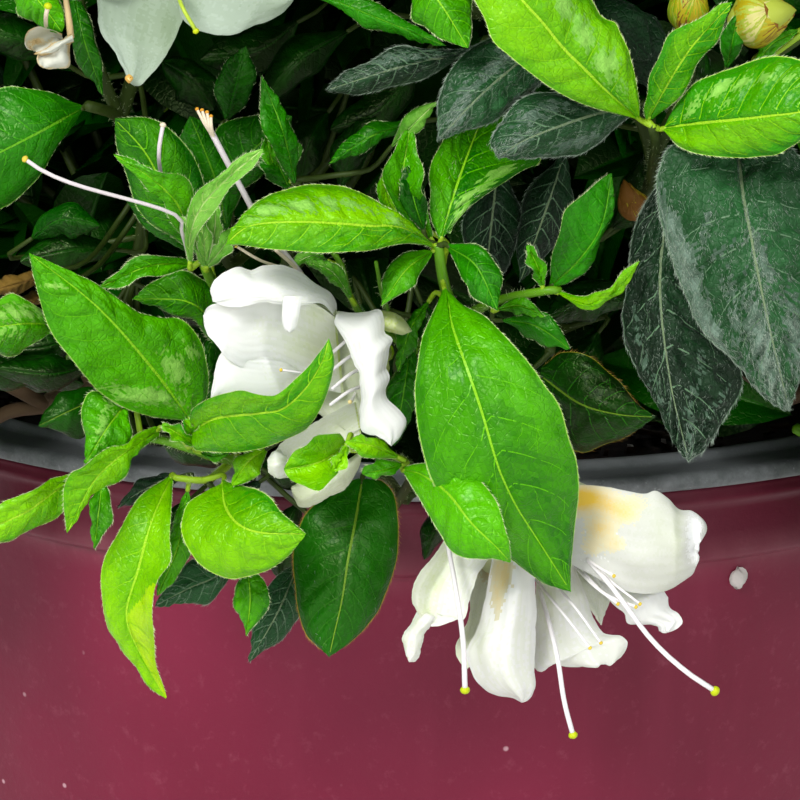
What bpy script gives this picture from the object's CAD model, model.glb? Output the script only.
import math

import bpy
import numpy as np
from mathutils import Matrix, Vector
from mathutils.bvhtree import BVHTree


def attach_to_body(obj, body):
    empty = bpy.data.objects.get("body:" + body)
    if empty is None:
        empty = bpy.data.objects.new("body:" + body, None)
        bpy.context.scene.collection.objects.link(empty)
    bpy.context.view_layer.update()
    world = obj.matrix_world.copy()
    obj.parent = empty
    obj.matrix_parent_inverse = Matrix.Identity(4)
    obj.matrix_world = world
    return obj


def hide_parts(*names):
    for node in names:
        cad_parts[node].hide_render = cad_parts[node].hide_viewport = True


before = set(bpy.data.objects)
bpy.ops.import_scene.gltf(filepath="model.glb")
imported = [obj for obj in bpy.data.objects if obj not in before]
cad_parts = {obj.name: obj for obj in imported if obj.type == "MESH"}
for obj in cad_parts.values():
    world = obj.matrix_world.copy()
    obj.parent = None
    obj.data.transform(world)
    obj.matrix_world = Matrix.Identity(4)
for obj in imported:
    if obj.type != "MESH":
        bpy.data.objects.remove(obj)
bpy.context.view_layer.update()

# Everything below works in millimetres in the row frame, and turns into metres where a mesh is made.
MM = 0.001
rng = np.random.default_rng(2584)

# ---------------------------------------------------------------------------------------------
# sizes shared with the CAD
# ---------------------------------------------------------------------------------------------
POT_H, FOOT_R, NECK_R, COLLAR_R, COLLAR_Z = 240.0, 112.0, 135.2, 137.6, 220.8
LIP_R, LIP_IN, LIP_EDGE, SKIRT_Z = 140.0, 127.4, 3.4, 205.0
SOIL_Z, STEM_TOP = 213.0, 262.0
RINGS = [
    # name, count, radius, height, half sizes, first bearing, bough radius, bough tip, height it leaves from, lift
    ("skirt", 7, 160, 271, (54, 88, 54), -66, 3.6, 2.2, 242, 14),
    ("middle", 6, 150, 356, (88, 104, 76), -90, 4.8, 2.8, 250, 14),
    ("upper", 5, 102, 446, (98, 100, 80), -60, 4.6, 2.6, 259, 0),
    ("crown", 1, 6, 492, (96, 100, 68), 20, 4.4, 2.6, 262, 0),
]
DROOP = [12, 3, -6, 6, -4, 8, 14]
SHIFT = [0, 6, -7, 4, 8, -5, 3]

# ---------------------------------------------------------------------------------------------
# the camera, and places given by where it sees them
# ---------------------------------------------------------------------------------------------
LENS = 158.0
F_PX = LENS / 36.0 * 800.0
CAM_EL = math.radians(14.3)
RIGHT = np.array([1.0, 0.0, 0.0])
UP = np.array([0.0, math.sin(CAM_EL), math.cos(CAM_EL)])
AHEAD = np.array([0.0, math.cos(CAM_EL), -math.sin(CAM_EL)])
RIM_FRONT = np.array([0.0, -LIP_R, POT_H - LIP_EDGE])
RIM_DEPTH = 675.0
CAM = (
    RIM_FRONT
    - RIGHT * (443.5 - 400) / F_PX * RIM_DEPTH
    + UP * (502.4 - 400) / F_PX * RIM_DEPTH
    - AHEAD * RIM_DEPTH
)


def at(x, y, front):
    """The points seen at (x, y) in the 800-pixel frame that lie `front` mm in front of the pot's axis."""
    x, y, front = np.broadcast_arrays(np.asarray(x, float), y, front)
    ray = AHEAD + RIGHT * ((x - 400) / F_PX)[..., None] - UP * ((y - 400) / F_PX)[..., None]
    return CAM + ray * ((-front - CAM[1]) / ray[..., 1])[..., None]


def seen(p):
    """(x, y, depth) of points in the 800-pixel frame."""
    q = np.asarray(p, float) - CAM
    d = q @ AHEAD
    return 400 + F_PX * (q @ RIGHT) / d, 400 - F_PX * (q @ UP) / d, d


# ---------------------------------------------------------------------------------------------
# gathering faces
# ---------------------------------------------------------------------------------------------
class Batch:
    """Faces gathered for one joined piece."""

    def __init__(self):
        self.v, self.q, self.qm, self.t, self.tm, self.n = [], [], [], [], [], 0

    def grid(self, p, slots):
        r, c = p.shape[:2]
        i = self.n + np.arange(r * c).reshape(r, c)
        self.q.append(
            np.stack([i[:-1, :-1], i[:-1, 1:], i[1:, 1:], i[1:, :-1]], -1).reshape(-1, 4)
        )
        self.qm.append(np.broadcast_to(slots, (r - 1, c - 1)).reshape(-1))
        self.v.append(p.reshape(-1, 3))
        self.n += r * c

    def tris(self, p, idx, slots):
        self.t.append(np.asarray(idx) + self.n)
        self.tm.append(np.broadcast_to(slots, (len(idx),)))
        self.v.append(np.asarray(p, float).reshape(-1, 3))
        self.n += len(self.v[-1])

    def tube(self, path, radii, sides, slot, blunt=0.6):
        """A round limb along a path, closed at both ends."""
        path = np.asarray(path, float)
        n = len(path)
        radii = np.broadcast_to(radii, (n,)).astype(float)
        tan = np.gradient(path, axis=0)
        tan /= np.linalg.norm(tan, axis=1)[:, None] + 1e-9
        nrm = np.zeros_like(path)
        a = np.cross(tan[0], [0.0, 0.0, 1.0])
        if np.linalg.norm(a) < 0.1:
            a = np.cross(tan[0], [1.0, 0.0, 0.0])
        nrm[0] = a / np.linalg.norm(a)
        for i in range(1, n):
            a = nrm[i - 1] - tan[i] * (nrm[i - 1] @ tan[i])
            nrm[i] = a / (np.linalg.norm(a) + 1e-9)
        bi = np.cross(tan, nrm)
        ang = np.arange(sides) / sides * 2 * math.pi
        ring = (
            path[:, None]
            + radii[:, None, None]
            * (np.cos(ang)[None, :, None] * nrm[:, None] + np.sin(ang)[None, :, None] * bi[:, None])
        )
        start = path[0] - tan[0] * radii[0] * blunt
        end = path[-1] + tan[-1] * radii[-1] * blunt
        j = np.arange(sides)
        k = (j + 1) % sides
        i0 = self.n + np.arange(n * sides).reshape(n, sides)
        self.q.append(
            np.stack([i0[:-1][:, j], i0[:-1][:, k], i0[1:][:, k], i0[1:][:, j]], -1).reshape(-1, 4)
        )
        self.qm.append(np.full((n - 1) * sides, slot))
        self.v.append(ring.reshape(-1, 3))
        self.n += n * sides
        s, e = self.n, self.n + 1
        self.v.append(np.array([start, end]))
        self.n += 2
        self.t.append(
            np.concatenate(
                [
                    np.stack([np.full(sides, s), i0[0][k], i0[0][j]], -1),
                    np.stack([np.full(sides, e), i0[-1][j], i0[-1][k]], -1),
                ]
            )
        )
        self.tm.append(np.full(2 * sides, slot))

    def triangles(self):
        return 2 * sum(len(q) for q in self.q) + sum(len(t) for t in self.t)


def piece(name, batch, materials, *, stands_for=()):
    """One mesh object from a batch, riding on the plant's only body."""
    v = np.concatenate(batch.v) * MM
    q = np.concatenate(batch.q) if batch.q else np.zeros((0, 4), int)
    t = np.concatenate(batch.t) if batch.t else np.zeros((0, 3), int)
    qm = np.concatenate(batch.qm) if batch.qm else np.zeros(0, int)
    tm = np.concatenate(batch.tm) if batch.tm else np.zeros(0, int)
    me = bpy.data.meshes.new(name)
    me.vertices.add(len(v))
    me.vertices.foreach_set("co", v.astype(np.float32).ravel())
    me.loops.add(len(q) * 4 + len(t) * 3)
    me.loops.foreach_set("vertex_index", np.concatenate([q.ravel(), t.ravel()]).astype(np.int32))
    me.polygons.add(len(q) + len(t))
    me.polygons.foreach_set(
        "loop_start",
        np.concatenate(
            [np.arange(len(q)) * 4, len(q) * 4 + np.arange(len(t)) * 3]
        ).astype(np.int32),
    )
    me.polygons.foreach_set("material_index", np.concatenate([qm, tm]).astype(np.int32))
    me.polygons.foreach_set("use_smooth", np.ones(len(q) + len(t), bool))
    for m in materials:
        me.materials.append(m)
    me.update(calc_edges=True)
    me.validate()
    o = bpy.data.objects.new(name, me)
    bpy.context.scene.collection.objects.link(o)
    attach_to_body(o, "root")
    if stands_for:
        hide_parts(*stands_for)
    print(name, batch.triangles(), "triangles")
    return o


def smooth_path(points, n):
    """n evenly spaced points on a smooth curve through the given ones."""
    p = np.asarray(points, float)
    if len(p) == 2:
        return p[0] + (p[1] - p[0]) * np.linspace(0, 1, n)[:, None]
    e = np.vstack([2 * p[0] - p[1], p, 2 * p[-1] - p[-2]])
    t = np.linspace(0, 1, 20, endpoint=False)[:, None]
    dense = [
        0.5
        * (
            2 * e[i]
            + (e[i + 1] - e[i - 1]) * t
            + (2 * e[i - 1] - 5 * e[i] + 4 * e[i + 1] - e[i + 2]) * t**2
            + (-e[i - 1] + 3 * e[i] - 3 * e[i + 1] + e[i + 2]) * t**3
        )
        for i in range(1, len(e) - 2)
    ]
    d = np.concatenate(dense + [p[-1:]])
    s = np.r_[0, np.cumsum(np.linalg.norm(np.diff(d, axis=0), axis=1))]
    w = np.linspace(0, s[-1], n)
    return np.stack([np.interp(w, s, d[:, k]) for k in range(3)], 1)


def unit(v):
    v = np.asarray(v, float)
    return v / (np.linalg.norm(v, axis=-1, keepdims=True) + 1e-12)


def step(x, lo, hi):
    t = np.clip((x - lo) / (hi - lo), 0, 1)
    return t * t * (3 - 2 * t)


# ---------------------------------------------------------------------------------------------
# materials
# ---------------------------------------------------------------------------------------------
def linear(rgb):
    c = np.asarray(rgb, float) / 255
    return np.where(c <= 0.04045, c / 12.92, ((c + 0.055) / 1.055) ** 2.4)


def shader(name):
    m = bpy.data.materials.new(name)
    m.use_nodes = True
    nt = m.node_tree
    return m, nt, nt.nodes["Principled BSDF"]


def node(nt, kind, **values):
    n = nt.nodes.new(kind)
    for k, v in values.items():
        if k in n.inputs:
            n.inputs[k].default_value = v
        else:
            setattr(n, k, v)
    return n


def leafy(name, rgb, rough, *, coat=0.0, coat_rough=0.3, sheen=0.0, bump=0.25, grain=900, net=0.0, spec=0.3, sss=0.0, tint=(1, 1, 1)):
    """Plain colour with fine relief over it, and for leaves a net of tiny veins."""
    m, nt, b = shader(name)
    b.inputs["Base Color"].default_value = (*rgb, 1)
    b.inputs["Roughness"].default_value = rough
    b.inputs["Specular IOR Level"].default_value = spec
    b.inputs["Specular Tint"].default_value = (*tint, 1)
    b.inputs["Coat Weight"].default_value = coat
    b.inputs["Coat Roughness"].default_value = coat_rough
    b.inputs["Sheen Weight"].default_value = sheen
    b.inputs["Sheen Roughness"].default_value = 0.4
    if sss:
        b.inputs["Subsurface Weight"].default_value = sss
        b.inputs["Subsurface Scale"].default_value = 0.004
        b.inputs["Subsurface Radius"].default_value = (1.0, 1.0, 0.8)
    if bump:
        pos = node(nt, "ShaderNodeTexCoord")
        tex = node(nt, "ShaderNodeTexNoise", Scale=grain, Detail=4.0, Roughness=0.65)
        bmp = node(nt, "ShaderNodeBump", Strength=bump, Distance=0.0004)
        nt.links.new(pos.outputs["Object"], tex.inputs["Vector"])
        height = tex.outputs["Fac"]
        if net:
            vor = node(nt, "ShaderNodeTexVoronoi", feature="DISTANCE_TO_EDGE", Scale=840.0, Randomness=1.0)
            nt.links.new(pos.outputs["Object"], vor.inputs["Vector"])
            cut = node(nt, "ShaderNodeMath", operation="MINIMUM")
            cut.inputs[1].default_value = 0.16
            nt.links.new(vor.outputs["Distance"], cut.inputs[0])
            add = node(nt, "ShaderNodeMath", operation="MULTIPLY_ADD")
            add.inputs[1].default_value = net / 0.16
            nt.links.new(cut.outputs[0], add.inputs[0])
            nt.links.new(tex.outputs["Fac"], add.inputs[2])
            height = add.outputs[0]
        nt.links.new(height, bmp.inputs["Height"])
        nt.links.new(bmp.outputs["Normal"], b.inputs["Normal"])
    return m


LEAF_MATS, TONE = [], {}
LEVELS = 9


def tone(name, dark, light, rib, vein, edge, rough, **kw):
    """A family of leaf colours: a ramp for the blade, and the midrib, side veins and margin."""
    d, li = linear(dark), linear(light)
    first = len(LEAF_MATS)
    for i in range(LEVELS):
        LEAF_MATS.append(leafy(f"leaf_{name}_{i}", d + (li - d) * i / (LEVELS - 1), rough, **kw))
    for part, c in (("rib", rib), ("vein", vein), ("edge", edge)):
        LEAF_MATS.append(leafy(f"leaf_{name}_{part}", linear(c), rough + 0.05, **kw))
    TONE[name] = first


GREEN = (0.72, 1.0, 0.42)
tone("lime", (44, 136, 0), (134, 204, 0), (158, 208, 40), (128, 196, 8), (166, 206, 78), 0.3, coat=0.1, coat_rough=0.18, bump=0.4, net=0.6, tint=GREEN)
tone("fresh", (14, 98, 0), (84, 178, 0), (132, 196, 30), (90, 178, 2), (146, 192, 78), 0.31, coat=0.08, coat_rough=0.2, bump=0.42, net=0.6, tint=GREEN)
tone("mid", (4, 68, 0), (38, 136, 0), (90, 160, 22), (54, 144, 4), (106, 160, 48), 0.32, coat=0.08, coat_rough=0.2, bump=0.36, net=0.6, tint=GREEN)
tone("deep", (2, 30, 0), (18, 96, 0), (104, 140, 34), (38, 108, 12), (124, 124, 16), 0.34, coat=0.06, coat_rough=0.22, bump=0.32, net=0.45, tint=GREEN)
tone("old", (4, 30, 10), (32, 84, 40), (112, 132, 96), (92, 124, 92), (80, 110, 80), 0.46, sheen=0.05, bump=0.5, net=0.5, tint=(0.85, 1.0, 0.85))
tone("silver", (30, 66, 38), (112, 136, 120), (112, 132, 96), (92, 124, 92), (80, 110, 80), 0.44, sheen=0.1, bump=0.55, net=0.5)
tone("yellow", (104, 178, 0), (184, 226, 0), (190, 222, 20), (156, 208, 0), (196, 216, 64), 0.34, coat=0.08, coat_rough=0.2, bump=0.3, net=0.4, tint=GREEN)
tone("pale", (66, 142, 14), (140, 200, 84), (188, 216, 134), (158, 200, 98), (198, 218, 158), 0.42, sheen=0.08, bump=0.4, net=0.3, tint=GREEN)
tone("dry", (54, 40, 8), (118, 90, 26), (96, 70, 24), (76, 56, 16), (120, 94, 40), 0.8, bump=0.6)

PETAL_MATS = []
WHITES = 8
for i in range(WHITES):
    f = (i / (WHITES - 1)) ** 0.8
    PETAL_MATS.append(leafy(f"petal_{i}", linear((190, 206, 122)) * (1 - f) + linear((233, 235, 230)) * f, 0.5, spec=0.22, sss=0.3, bump=0.14, grain=260))
PETAL_MATS += [
    leafy("petal_tan", linear((214, 168, 84)), 0.6, bump=0.12, grain=260),
    leafy("petal_straw", linear((236, 216, 150)), 0.6, bump=0.12, grain=260),
    leafy("petal_butter", linear((244, 236, 202)), 0.6, bump=0.12, grain=260),
    leafy("petal_wither", linear((200, 172, 134)), 0.8, bump=0.5, grain=500),
    leafy("style_white", linear((238, 234, 236)), 0.4, bump=0),
    leafy("stigma_yellow", linear((190, 204, 10)), 0.45, bump=0.3, grain=1800),
    leafy("anther_tan", linear((222, 196, 70)), 0.7, bump=0.3, grain=1800),
    leafy("stigma_orange", linear((212, 150, 44)), 0.6, bump=0.3, grain=1800),
    leafy("bud_green", linear((124, 158, 8)), 0.45, bump=0.2, grain=600),
    leafy("bud_straw", linear((172, 158, 20)), 0.45, bump=0.2, grain=600),
    leafy("bud_brown", linear((128, 84, 20)), 0.6, bump=0.3, grain=600),
    leafy("style_old", linear((226, 212, 186)), 0.5, bump=0),
    leafy("style_lime", linear((176, 200, 60)), 0.4, bump=0),
    leafy("style_lilac", linear((214, 206, 208)), 0.4, bump=0),
]
PETAL_MATS.append(leafy("bud_pale", linear((164, 178, 62)), 0.5, bump=0.2, grain=600))
STAINS = 10
for i in range(STAINS):
    f = (i / (STAINS - 1)) ** 0.9
    PETAL_MATS.append(leafy(f"petal_stain_{i}", linear((216, 216, 194)) * (1 - f) + linear((238, 200, 74)) * f, 0.55, spec=0.2, sss=0.2, bump=0.12, grain=260))
P_BUDPALE, P_STAIN = 22, 23
P_BUDCREAM = len(PETAL_MATS)
PETAL_MATS.append(leafy("bud_cream", linear((196, 190, 118)), 0.5, bump=0.2, grain=600))
SOFTS = 14
P_DIM = len(PETAL_MATS)
for i in range(SOFTS):
    f = i / (SOFTS - 1)
    PETAL_MATS.append(leafy(f"petal_dim_{i}", linear((102, 124, 82)) * (1 - f) + linear((188, 202, 192)) * f, 0.55, spec=0.2, sss=0.3, bump=0.14, grain=260))
P_SOFT = len(PETAL_MATS)
for i in range(SOFTS):
    f = min(i / 11, 1)
    g = max(i - 11, 0) / 2
    c = (linear((172, 186, 132)) * (1 - f) + linear((208, 210, 202)) * f) * (1 - g) + linear((234, 236, 234)) * g
    PETAL_MATS.append(leafy(f"petal_soft_{i}", c, 0.55, spec=0.2, sss=0.3, bump=0.14, grain=260))
P_OLD = len(PETAL_MATS)
for i, c in enumerate(((160, 144, 98), (184, 158, 108), (204, 180, 132), (212, 202, 168), (206, 208, 194))):
    PETAL_MATS.append(leafy(f"petal_old_{i}", linear(c), 0.7, spec=0.2, bump=0.4, grain=500))
P_THROAT, P_CREAM, P_IVORY, P_WHITE, P_SNOW = 0, 2, 4, 6, 7
P_TAN, P_STRAW, P_BUTTER, P_WITHER, P_STYLE, P_STIGMA, P_ANTHER, P_ORANGE, P_BUD, P_BUDSTRAW, P_BUDBROWN, P_OLDSTYLE, P_LIMESTYLE, P_LILAC = range(8, 22)

HAIR_MATS = [
    leafy("hair_silver", linear((150, 166, 150)), 0.6, bump=0),
    leafy("hair_pale", linear((196, 212, 160)), 0.6, bump=0),
    leafy("hair_rust", linear((150, 116, 50)), 0.6, bump=0),
    leafy("hair_dim", linear((84, 104, 88)), 0.6, bump=0),
]


def wood_material():
    m, nt, b = shader("bark_brown")
    pos = node(nt, "ShaderNodeTexCoord")
    a = node(nt, "ShaderNodeTexNoise", Scale=70.0, Detail=6.0, Roughness=0.65)
    ramp = node(nt, "ShaderNodeValToRGB")
    ramp.color_ramp.elements[0].position = 0.32
    ramp.color_ramp.elements[0].color = (*linear((40, 30, 20)), 1)
    ramp.color_ramp.elements[1].position = 0.7
    ramp.color_ramp.elements[1].color = (*linear((104, 84, 58)), 1)
    fine = node(nt, "ShaderNodeTexNoise", Scale=420.0, Detail=5.0, Roughness=0.7)
    bmp = node(nt, "ShaderNodeBump", Strength=0.6, Distance=0.0008)
    nt.links.new(pos.outputs["Object"], a.inputs["Vector"])
    nt.links.new(pos.outputs["Object"], fine.inputs["Vector"])
    nt.links.new(a.outputs["Fac"], ramp.inputs["Fac"])
    nt.links.new(ramp.outputs["Color"], b.inputs["Base Color"])
    nt.links.new(fine.outputs["Fac"], bmp.inputs["Height"])
    nt.links.new(bmp.outputs["Normal"], b.inputs["Normal"])
    b.inputs["Roughness"].default_value = 0.85
    return m


TWIG_MATS = [
    leafy("twig_brown", linear((66, 50, 30)), 0.8, bump=0.5, grain=500),
    leafy("twig_olive", linear((50, 68, 16)), 0.55, bump=0.35, grain=600),
    leafy("shoot_green", linear((92, 148, 20)), 0.42, bump=0.25, grain=700),
    leafy("petiole_lime", linear((146, 184, 36)), 0.4, bump=0.2, grain=700),
]
T_BROWN, T_OLIVE, T_GREEN, T_PETIOLE = range(4)

# ---------------------------------------------------------------------------------------------
# leaves and petals drawn close up
# ---------------------------------------------------------------------------------------------
near_leaves, near_dark, veins_b, petals, hairs, twigs = Batch(), Batch(), Batch(), Batch(), Batch(), Batch()
LEAF_BASES = []  # where each close-up leaf starts, which way it runs, and how thick its stalk is


def along(v, s):
    """A number, or several spread evenly from base to tip."""
    v = np.atleast_1d(np.asarray(v, float))
    return np.interp(s, np.linspace(0, 1, len(v)), v)


def profile(s, m, a, b_scale=0.8):
    """Half width of a blade along its length: 1 where it is widest, at m."""
    b = a * (1 - m) / m * b_scale
    peak = a / (a + b)
    s = np.clip(s, 0, 1)
    return (s**a * (1 - s) ** b) / (peak**a * (1 - peak) ** b)


def petal_profile(s, m, tip):
    """Half width of a petal: a narrow claw, a broad rounded end."""
    s = np.clip(s, 0, 1)
    rise = 0.24 + 0.76 * step(s, 0.0, m)
    fall = np.sqrt(np.clip(1 - np.clip((s - m) / (1 - m), 0, 1) ** tip, 0, 1))
    return rise * fall


def curve(points, s):
    """Places at shares s of the length of a smooth curve drawn in the frame."""
    p = np.array([(*q, 0) if len(q) == 2 else q for q in points], float)
    q = smooth_path(p, 161)
    w = np.linspace(0, 1, 161)
    return np.stack([np.interp(s, w, q[:, k]) for k in range(3)], -1)


def surface(mid, left, right, dl, dr, s, t, width, cup=1.5):
    """Points of a blade: s runs from base to tip and t from -1 at its left margin to 1 at its right.
    A margin is given by half widths spread from base to tip, or by the places where it is seen."""
    c = curve(mid, s)
    w = np.linspace(0, 1, 161)
    d = np.gradient(curve(mid, w)[:, :2], axis=0)
    d /= np.hypot(d[:, 0], d[:, 1])[:, None] + 1e-9
    for _ in range(6):
        d[1:-1] = (d[:-2] + 2 * d[1:-1] + d[2:]) / 4
    nx, ny = np.interp(s, w, d[:, 1]), np.interp(s, w, -d[:, 0])

    def margin(m, sign):
        if np.ndim(m) == 2 or (np.ndim(m) == 1 and np.ndim(m[0]) == 1):
            e = curve(m, s)
            return e[..., 0], e[..., 1]
        h = along(m, s) * width * sign
        return c[..., 0] + nx * h, c[..., 1] + ny * h

    lx, ly = margin(left, 1)
    rx, ry = margin(right, -1)
    k = np.abs(t)
    x = c[..., 0] + k * (np.where(t < 0, lx, rx) - c[..., 0])
    y = c[..., 1] + k * (np.where(t < 0, ly, ry) - c[..., 1])
    near = np.where(t < 0, along(dl, s), along(dr, s)) * k**cup
    return at(x, y, c[..., 2] + near * np.clip(width, 0, 1))


def normals(p):
    du, dv = np.gradient(p, axis=0), np.gradient(p, axis=1)
    n = unit(np.cross(du, dv))
    n = np.where(np.isfinite(n), n, 0.0)
    flip = np.sign(-(n @ AHEAD).mean())
    return n * (flip if flip else 1)


def waves(u, v, seed_row, freq, count=5):
    """Gentle random relief, from crossing waves."""
    out = 0
    for i in range(count):
        a = rng.random() * 6.283
        f = freq * (0.7 + 0.6 * rng.random())
        out = out + np.sin((u * math.cos(a) + v * math.sin(a)) * f + rng.random() * 6.283)
    return out / math.sqrt(count)


COLS = np.array([0, 0.03, 0.09, 0.17, 0.26, 0.35, 0.44, 0.53, 0.62, 0.71, 0.8, 0.88, 0.95, 0.985, 1.0])
COLS_SMALL = np.array([0, 0.04, 0.14, 0.28, 0.42, 0.56, 0.7, 0.84, 0.96, 1.0])


def ribbon(P, n, row, col, width, slot, lift=0.05):
    """A thin strip that lies on a blade, through fractions of its rows and columns."""
    a = np.clip(row, 0, P.shape[0] - 1.001)
    b = np.clip(col, 0, P.shape[1] - 1.001)
    i, j = a.astype(int), b.astype(int)
    fi, fj = (a - i)[:, None], (b - j)[:, None]

    def pick(g):
        return (g[i, j] * (1 - fi) + g[i + 1, j] * fi) * (1 - fj) + (g[i, j + 1] * (1 - fi) + g[i + 1, j + 1] * fi) * fj

    m = unit(pick(n))
    q = pick(P) + m * lift
    w = unit(np.cross(np.gradient(q, axis=0), m)) * (np.broadcast_to(width, (len(q),)) / 2)[:, None]
    veins_b.grid(np.stack([q - w, q + w], 1), slot)


def leaf(mid, left, right, dl=0, dr=0, kind="fresh", *, m=0.5, a=1.0, tipness=0.8, veins=8, quilt=0.3, groove=0.3,
         wave=0.5, level=2.0, grad=0.0, under=False, cilia=70, fuzz=0, stalk=0.7, recurve=0.5, cup=1.5, attach=True,
         fold=None, rib=True, net=None, back=None, pucker=0.16, right_shade=0.0, plain=False, silver=(), shine=(), fine=1):
    """One close-up leaf. Its rows of faces run along the side veins, so that the quilting between them is real."""
    p0 = at(*curve(mid, np.linspace(0, 1, 41)).T)
    length = np.linalg.norm(np.diff(p0, axis=0), axis=1).sum()
    small = length < 17
    phases = np.arange((4 if small else 6) * fine) / ((4 if small else 6) * fine)
    per = len(phases)
    cuts = np.arange(veins + 1) / veins
    cuts[1:-1] += (rng.random(veins - 1) - 0.5) * 0.3 / veins
    u = np.concatenate([cuts[i] + phases * (cuts[i + 1] - cuts[i]) for i in range(veins)] + [[1.0]]) ** 1.05
    c0 = COLS_SMALL if small else COLS
    c0 = np.interp(np.linspace(0, 1, (len(c0) - 1) * fine + 1), np.linspace(0, 1, len(c0)), c0)
    t = np.concatenate([-c0[:0:-1], c0])
    U, T = np.meshgrid(u, t, indexing="ij")
    PH = np.concatenate([np.tile(phases, veins), [0]])[:, None] + 0 * T
    A = np.abs(T)
    probe = surface(mid, left, right, 0, 0, np.full(2, m), np.array([-1.0, 1.0]), np.ones(2))
    hw = np.linalg.norm(probe[1] - probe[0]) / 2
    shear = min(0.85 * hw / length, 0.2)
    bell = 4 * U * (1 - U)
    S = U + shear * A**1.1 * bell + np.sign(T) * 0.25 / veins * step(A, 0, 0.1) * bell
    S = np.clip(S, 0, 1)
    width = profile(S, m, a, tipness)
    P = surface(mid, left, right, dl, dr, S, T, width, cup)
    n = normals(P)
    r = rng.random(12)
    env = step(A, 0.0, 0.16) * (1 - 0.7 * step(A, 0.8, 1.0)) * step(U, 0, 0.08) * (1 - step(U, 0.9, 1))
    h = quilt * (np.sin(math.pi * PH) ** 0.6 - 0.4) * env * (0.75 + 0.5 * np.sin(T * 4 + U * 9 + r[8] * 6))
    h -= groove * np.exp(-((T / 0.06) ** 2)) * (1 - step(U, 0.85, 1.0))
    h -= recurve * step(A, 0.72, 1.0) ** 2 * (1 - 0.6 * step(U, 0.8, 1))
    lobes = np.where(T < 0, np.sin(2 * math.pi * (S * (1.6 + r[0]) + r[1])), np.sin(2 * math.pi * (S * (1.7 + r[2]) + r[3])))
    h += wave * lobes * A**2 * np.clip(width, 0, 1)
    h += pucker * waves(U * length, T * hw, 0, 1.5) * env
    h += 0.5 * pucker * waves(U * length, T * hw, 0, 3.2) * env
    if fold:
        where, much = fold
        h += much * np.exp(-(((S - where) / 0.13) ** 2)) * A
    P = P + n * h[..., None] * (-1 if under else 1)
    # which colour each face takes
    uc, tc = (U[:-1, :-1] + U[1:, 1:]) / 2, (T[:-1, :-1] + T[1:, 1:]) / 2
    sc = (S[:-1, :-1] + S[1:, 1:]) / 2
    ph = (np.arange(len(u) - 1) % per + 0.5)[:, None] / per
    drift = 0.5 * np.sin(sc * 6 + r[6] * 6 + tc * 2.5) + 0.4 * np.sin(tc * 5 + sc * 4 + r[7] * 6)
    val = level + grad * (sc - 0.5) * 2 + drift - 0.7 * step(np.abs(tc), 0.6, 1.0) + 0.5 * (np.sin(math.pi * ph) - 0.6)
    val = val + right_shade * step(tc, -0.05, 0.05)
    val = val * (LEVELS - 1) / 4 + (rng.random(sc.shape) - 0.5) * 1.1
    lum = np.clip(np.round(val), 0, LEVELS - 1).astype(int)
    first = TONE[kind]
    slots = first + lum
    if back:
        side, start, other = back
        turned_over = (tc * side > 0.02) & (sc > start + 0.14 * (1 - np.abs(tc)))
        slots = np.where(turned_over, TONE[other] + lum, slots)
    gloss = np.zeros(sc.shape)
    if silver or shine:
        px, py, _ = seen(((P[:-1, :-1] + P[1:, 1:]) / 2).reshape(-1, 3))
        px, py = px.reshape(sc.shape), py.reshape(sc.shape)
        for cx, cy, long, short, turn, much in silver or shine:
            ca, sa = math.cos(math.radians(turn)), math.sin(math.radians(turn))
            e, f = (px - cx) * ca + (py - cy) * sa, -(px - cx) * sa + (py - cy) * ca
            gloss = gloss + much * np.exp(-((e / long) ** 2) - (f / short) ** 2)
        gloss = gloss * (1 + 0.35 * waves(uc * length, tc * hw, 0, 2.2))
        if shine:
            gloss = gloss * (0.45 + 0.9 * np.sin(math.pi * ph) ** 2)
        gloss = gloss + (rng.random(sc.shape) - 0.5) * 0.34 * (gloss > 0.04)
        shade_of = np.clip(np.round((gloss + (0 if silver else 0.3)) * (LEVELS - 1)), 0, LEVELS - 1).astype(int)
        slots = np.where(gloss > 0.2, TONE["silver" if silver else "pale"] + shade_of, slots)
    ribs, vein = first + LEVELS, first + LEVELS + 1
    if plain:
        ribs, vein = first + min(LEVELS - 1, int(level * 2) + 3), first + min(LEVELS - 1, int(level * 2) + 2)
    edge_at = 0.97 if not small and fine == 1 else 0.98
    slots = np.where(np.abs(tc) > edge_at, ribs if plain else first + LEVELS + 2, slots)
    bank = near_dark if kind in ("old", "deep", "dry") else near_leaves
    bank.grid(P, slots)
    LEAF_BASES.append((P[0, len(t) // 2], unit(P[3, len(t) // 2] - P[0, len(t) // 2]), stalk if attach else 0, kind))
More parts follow.
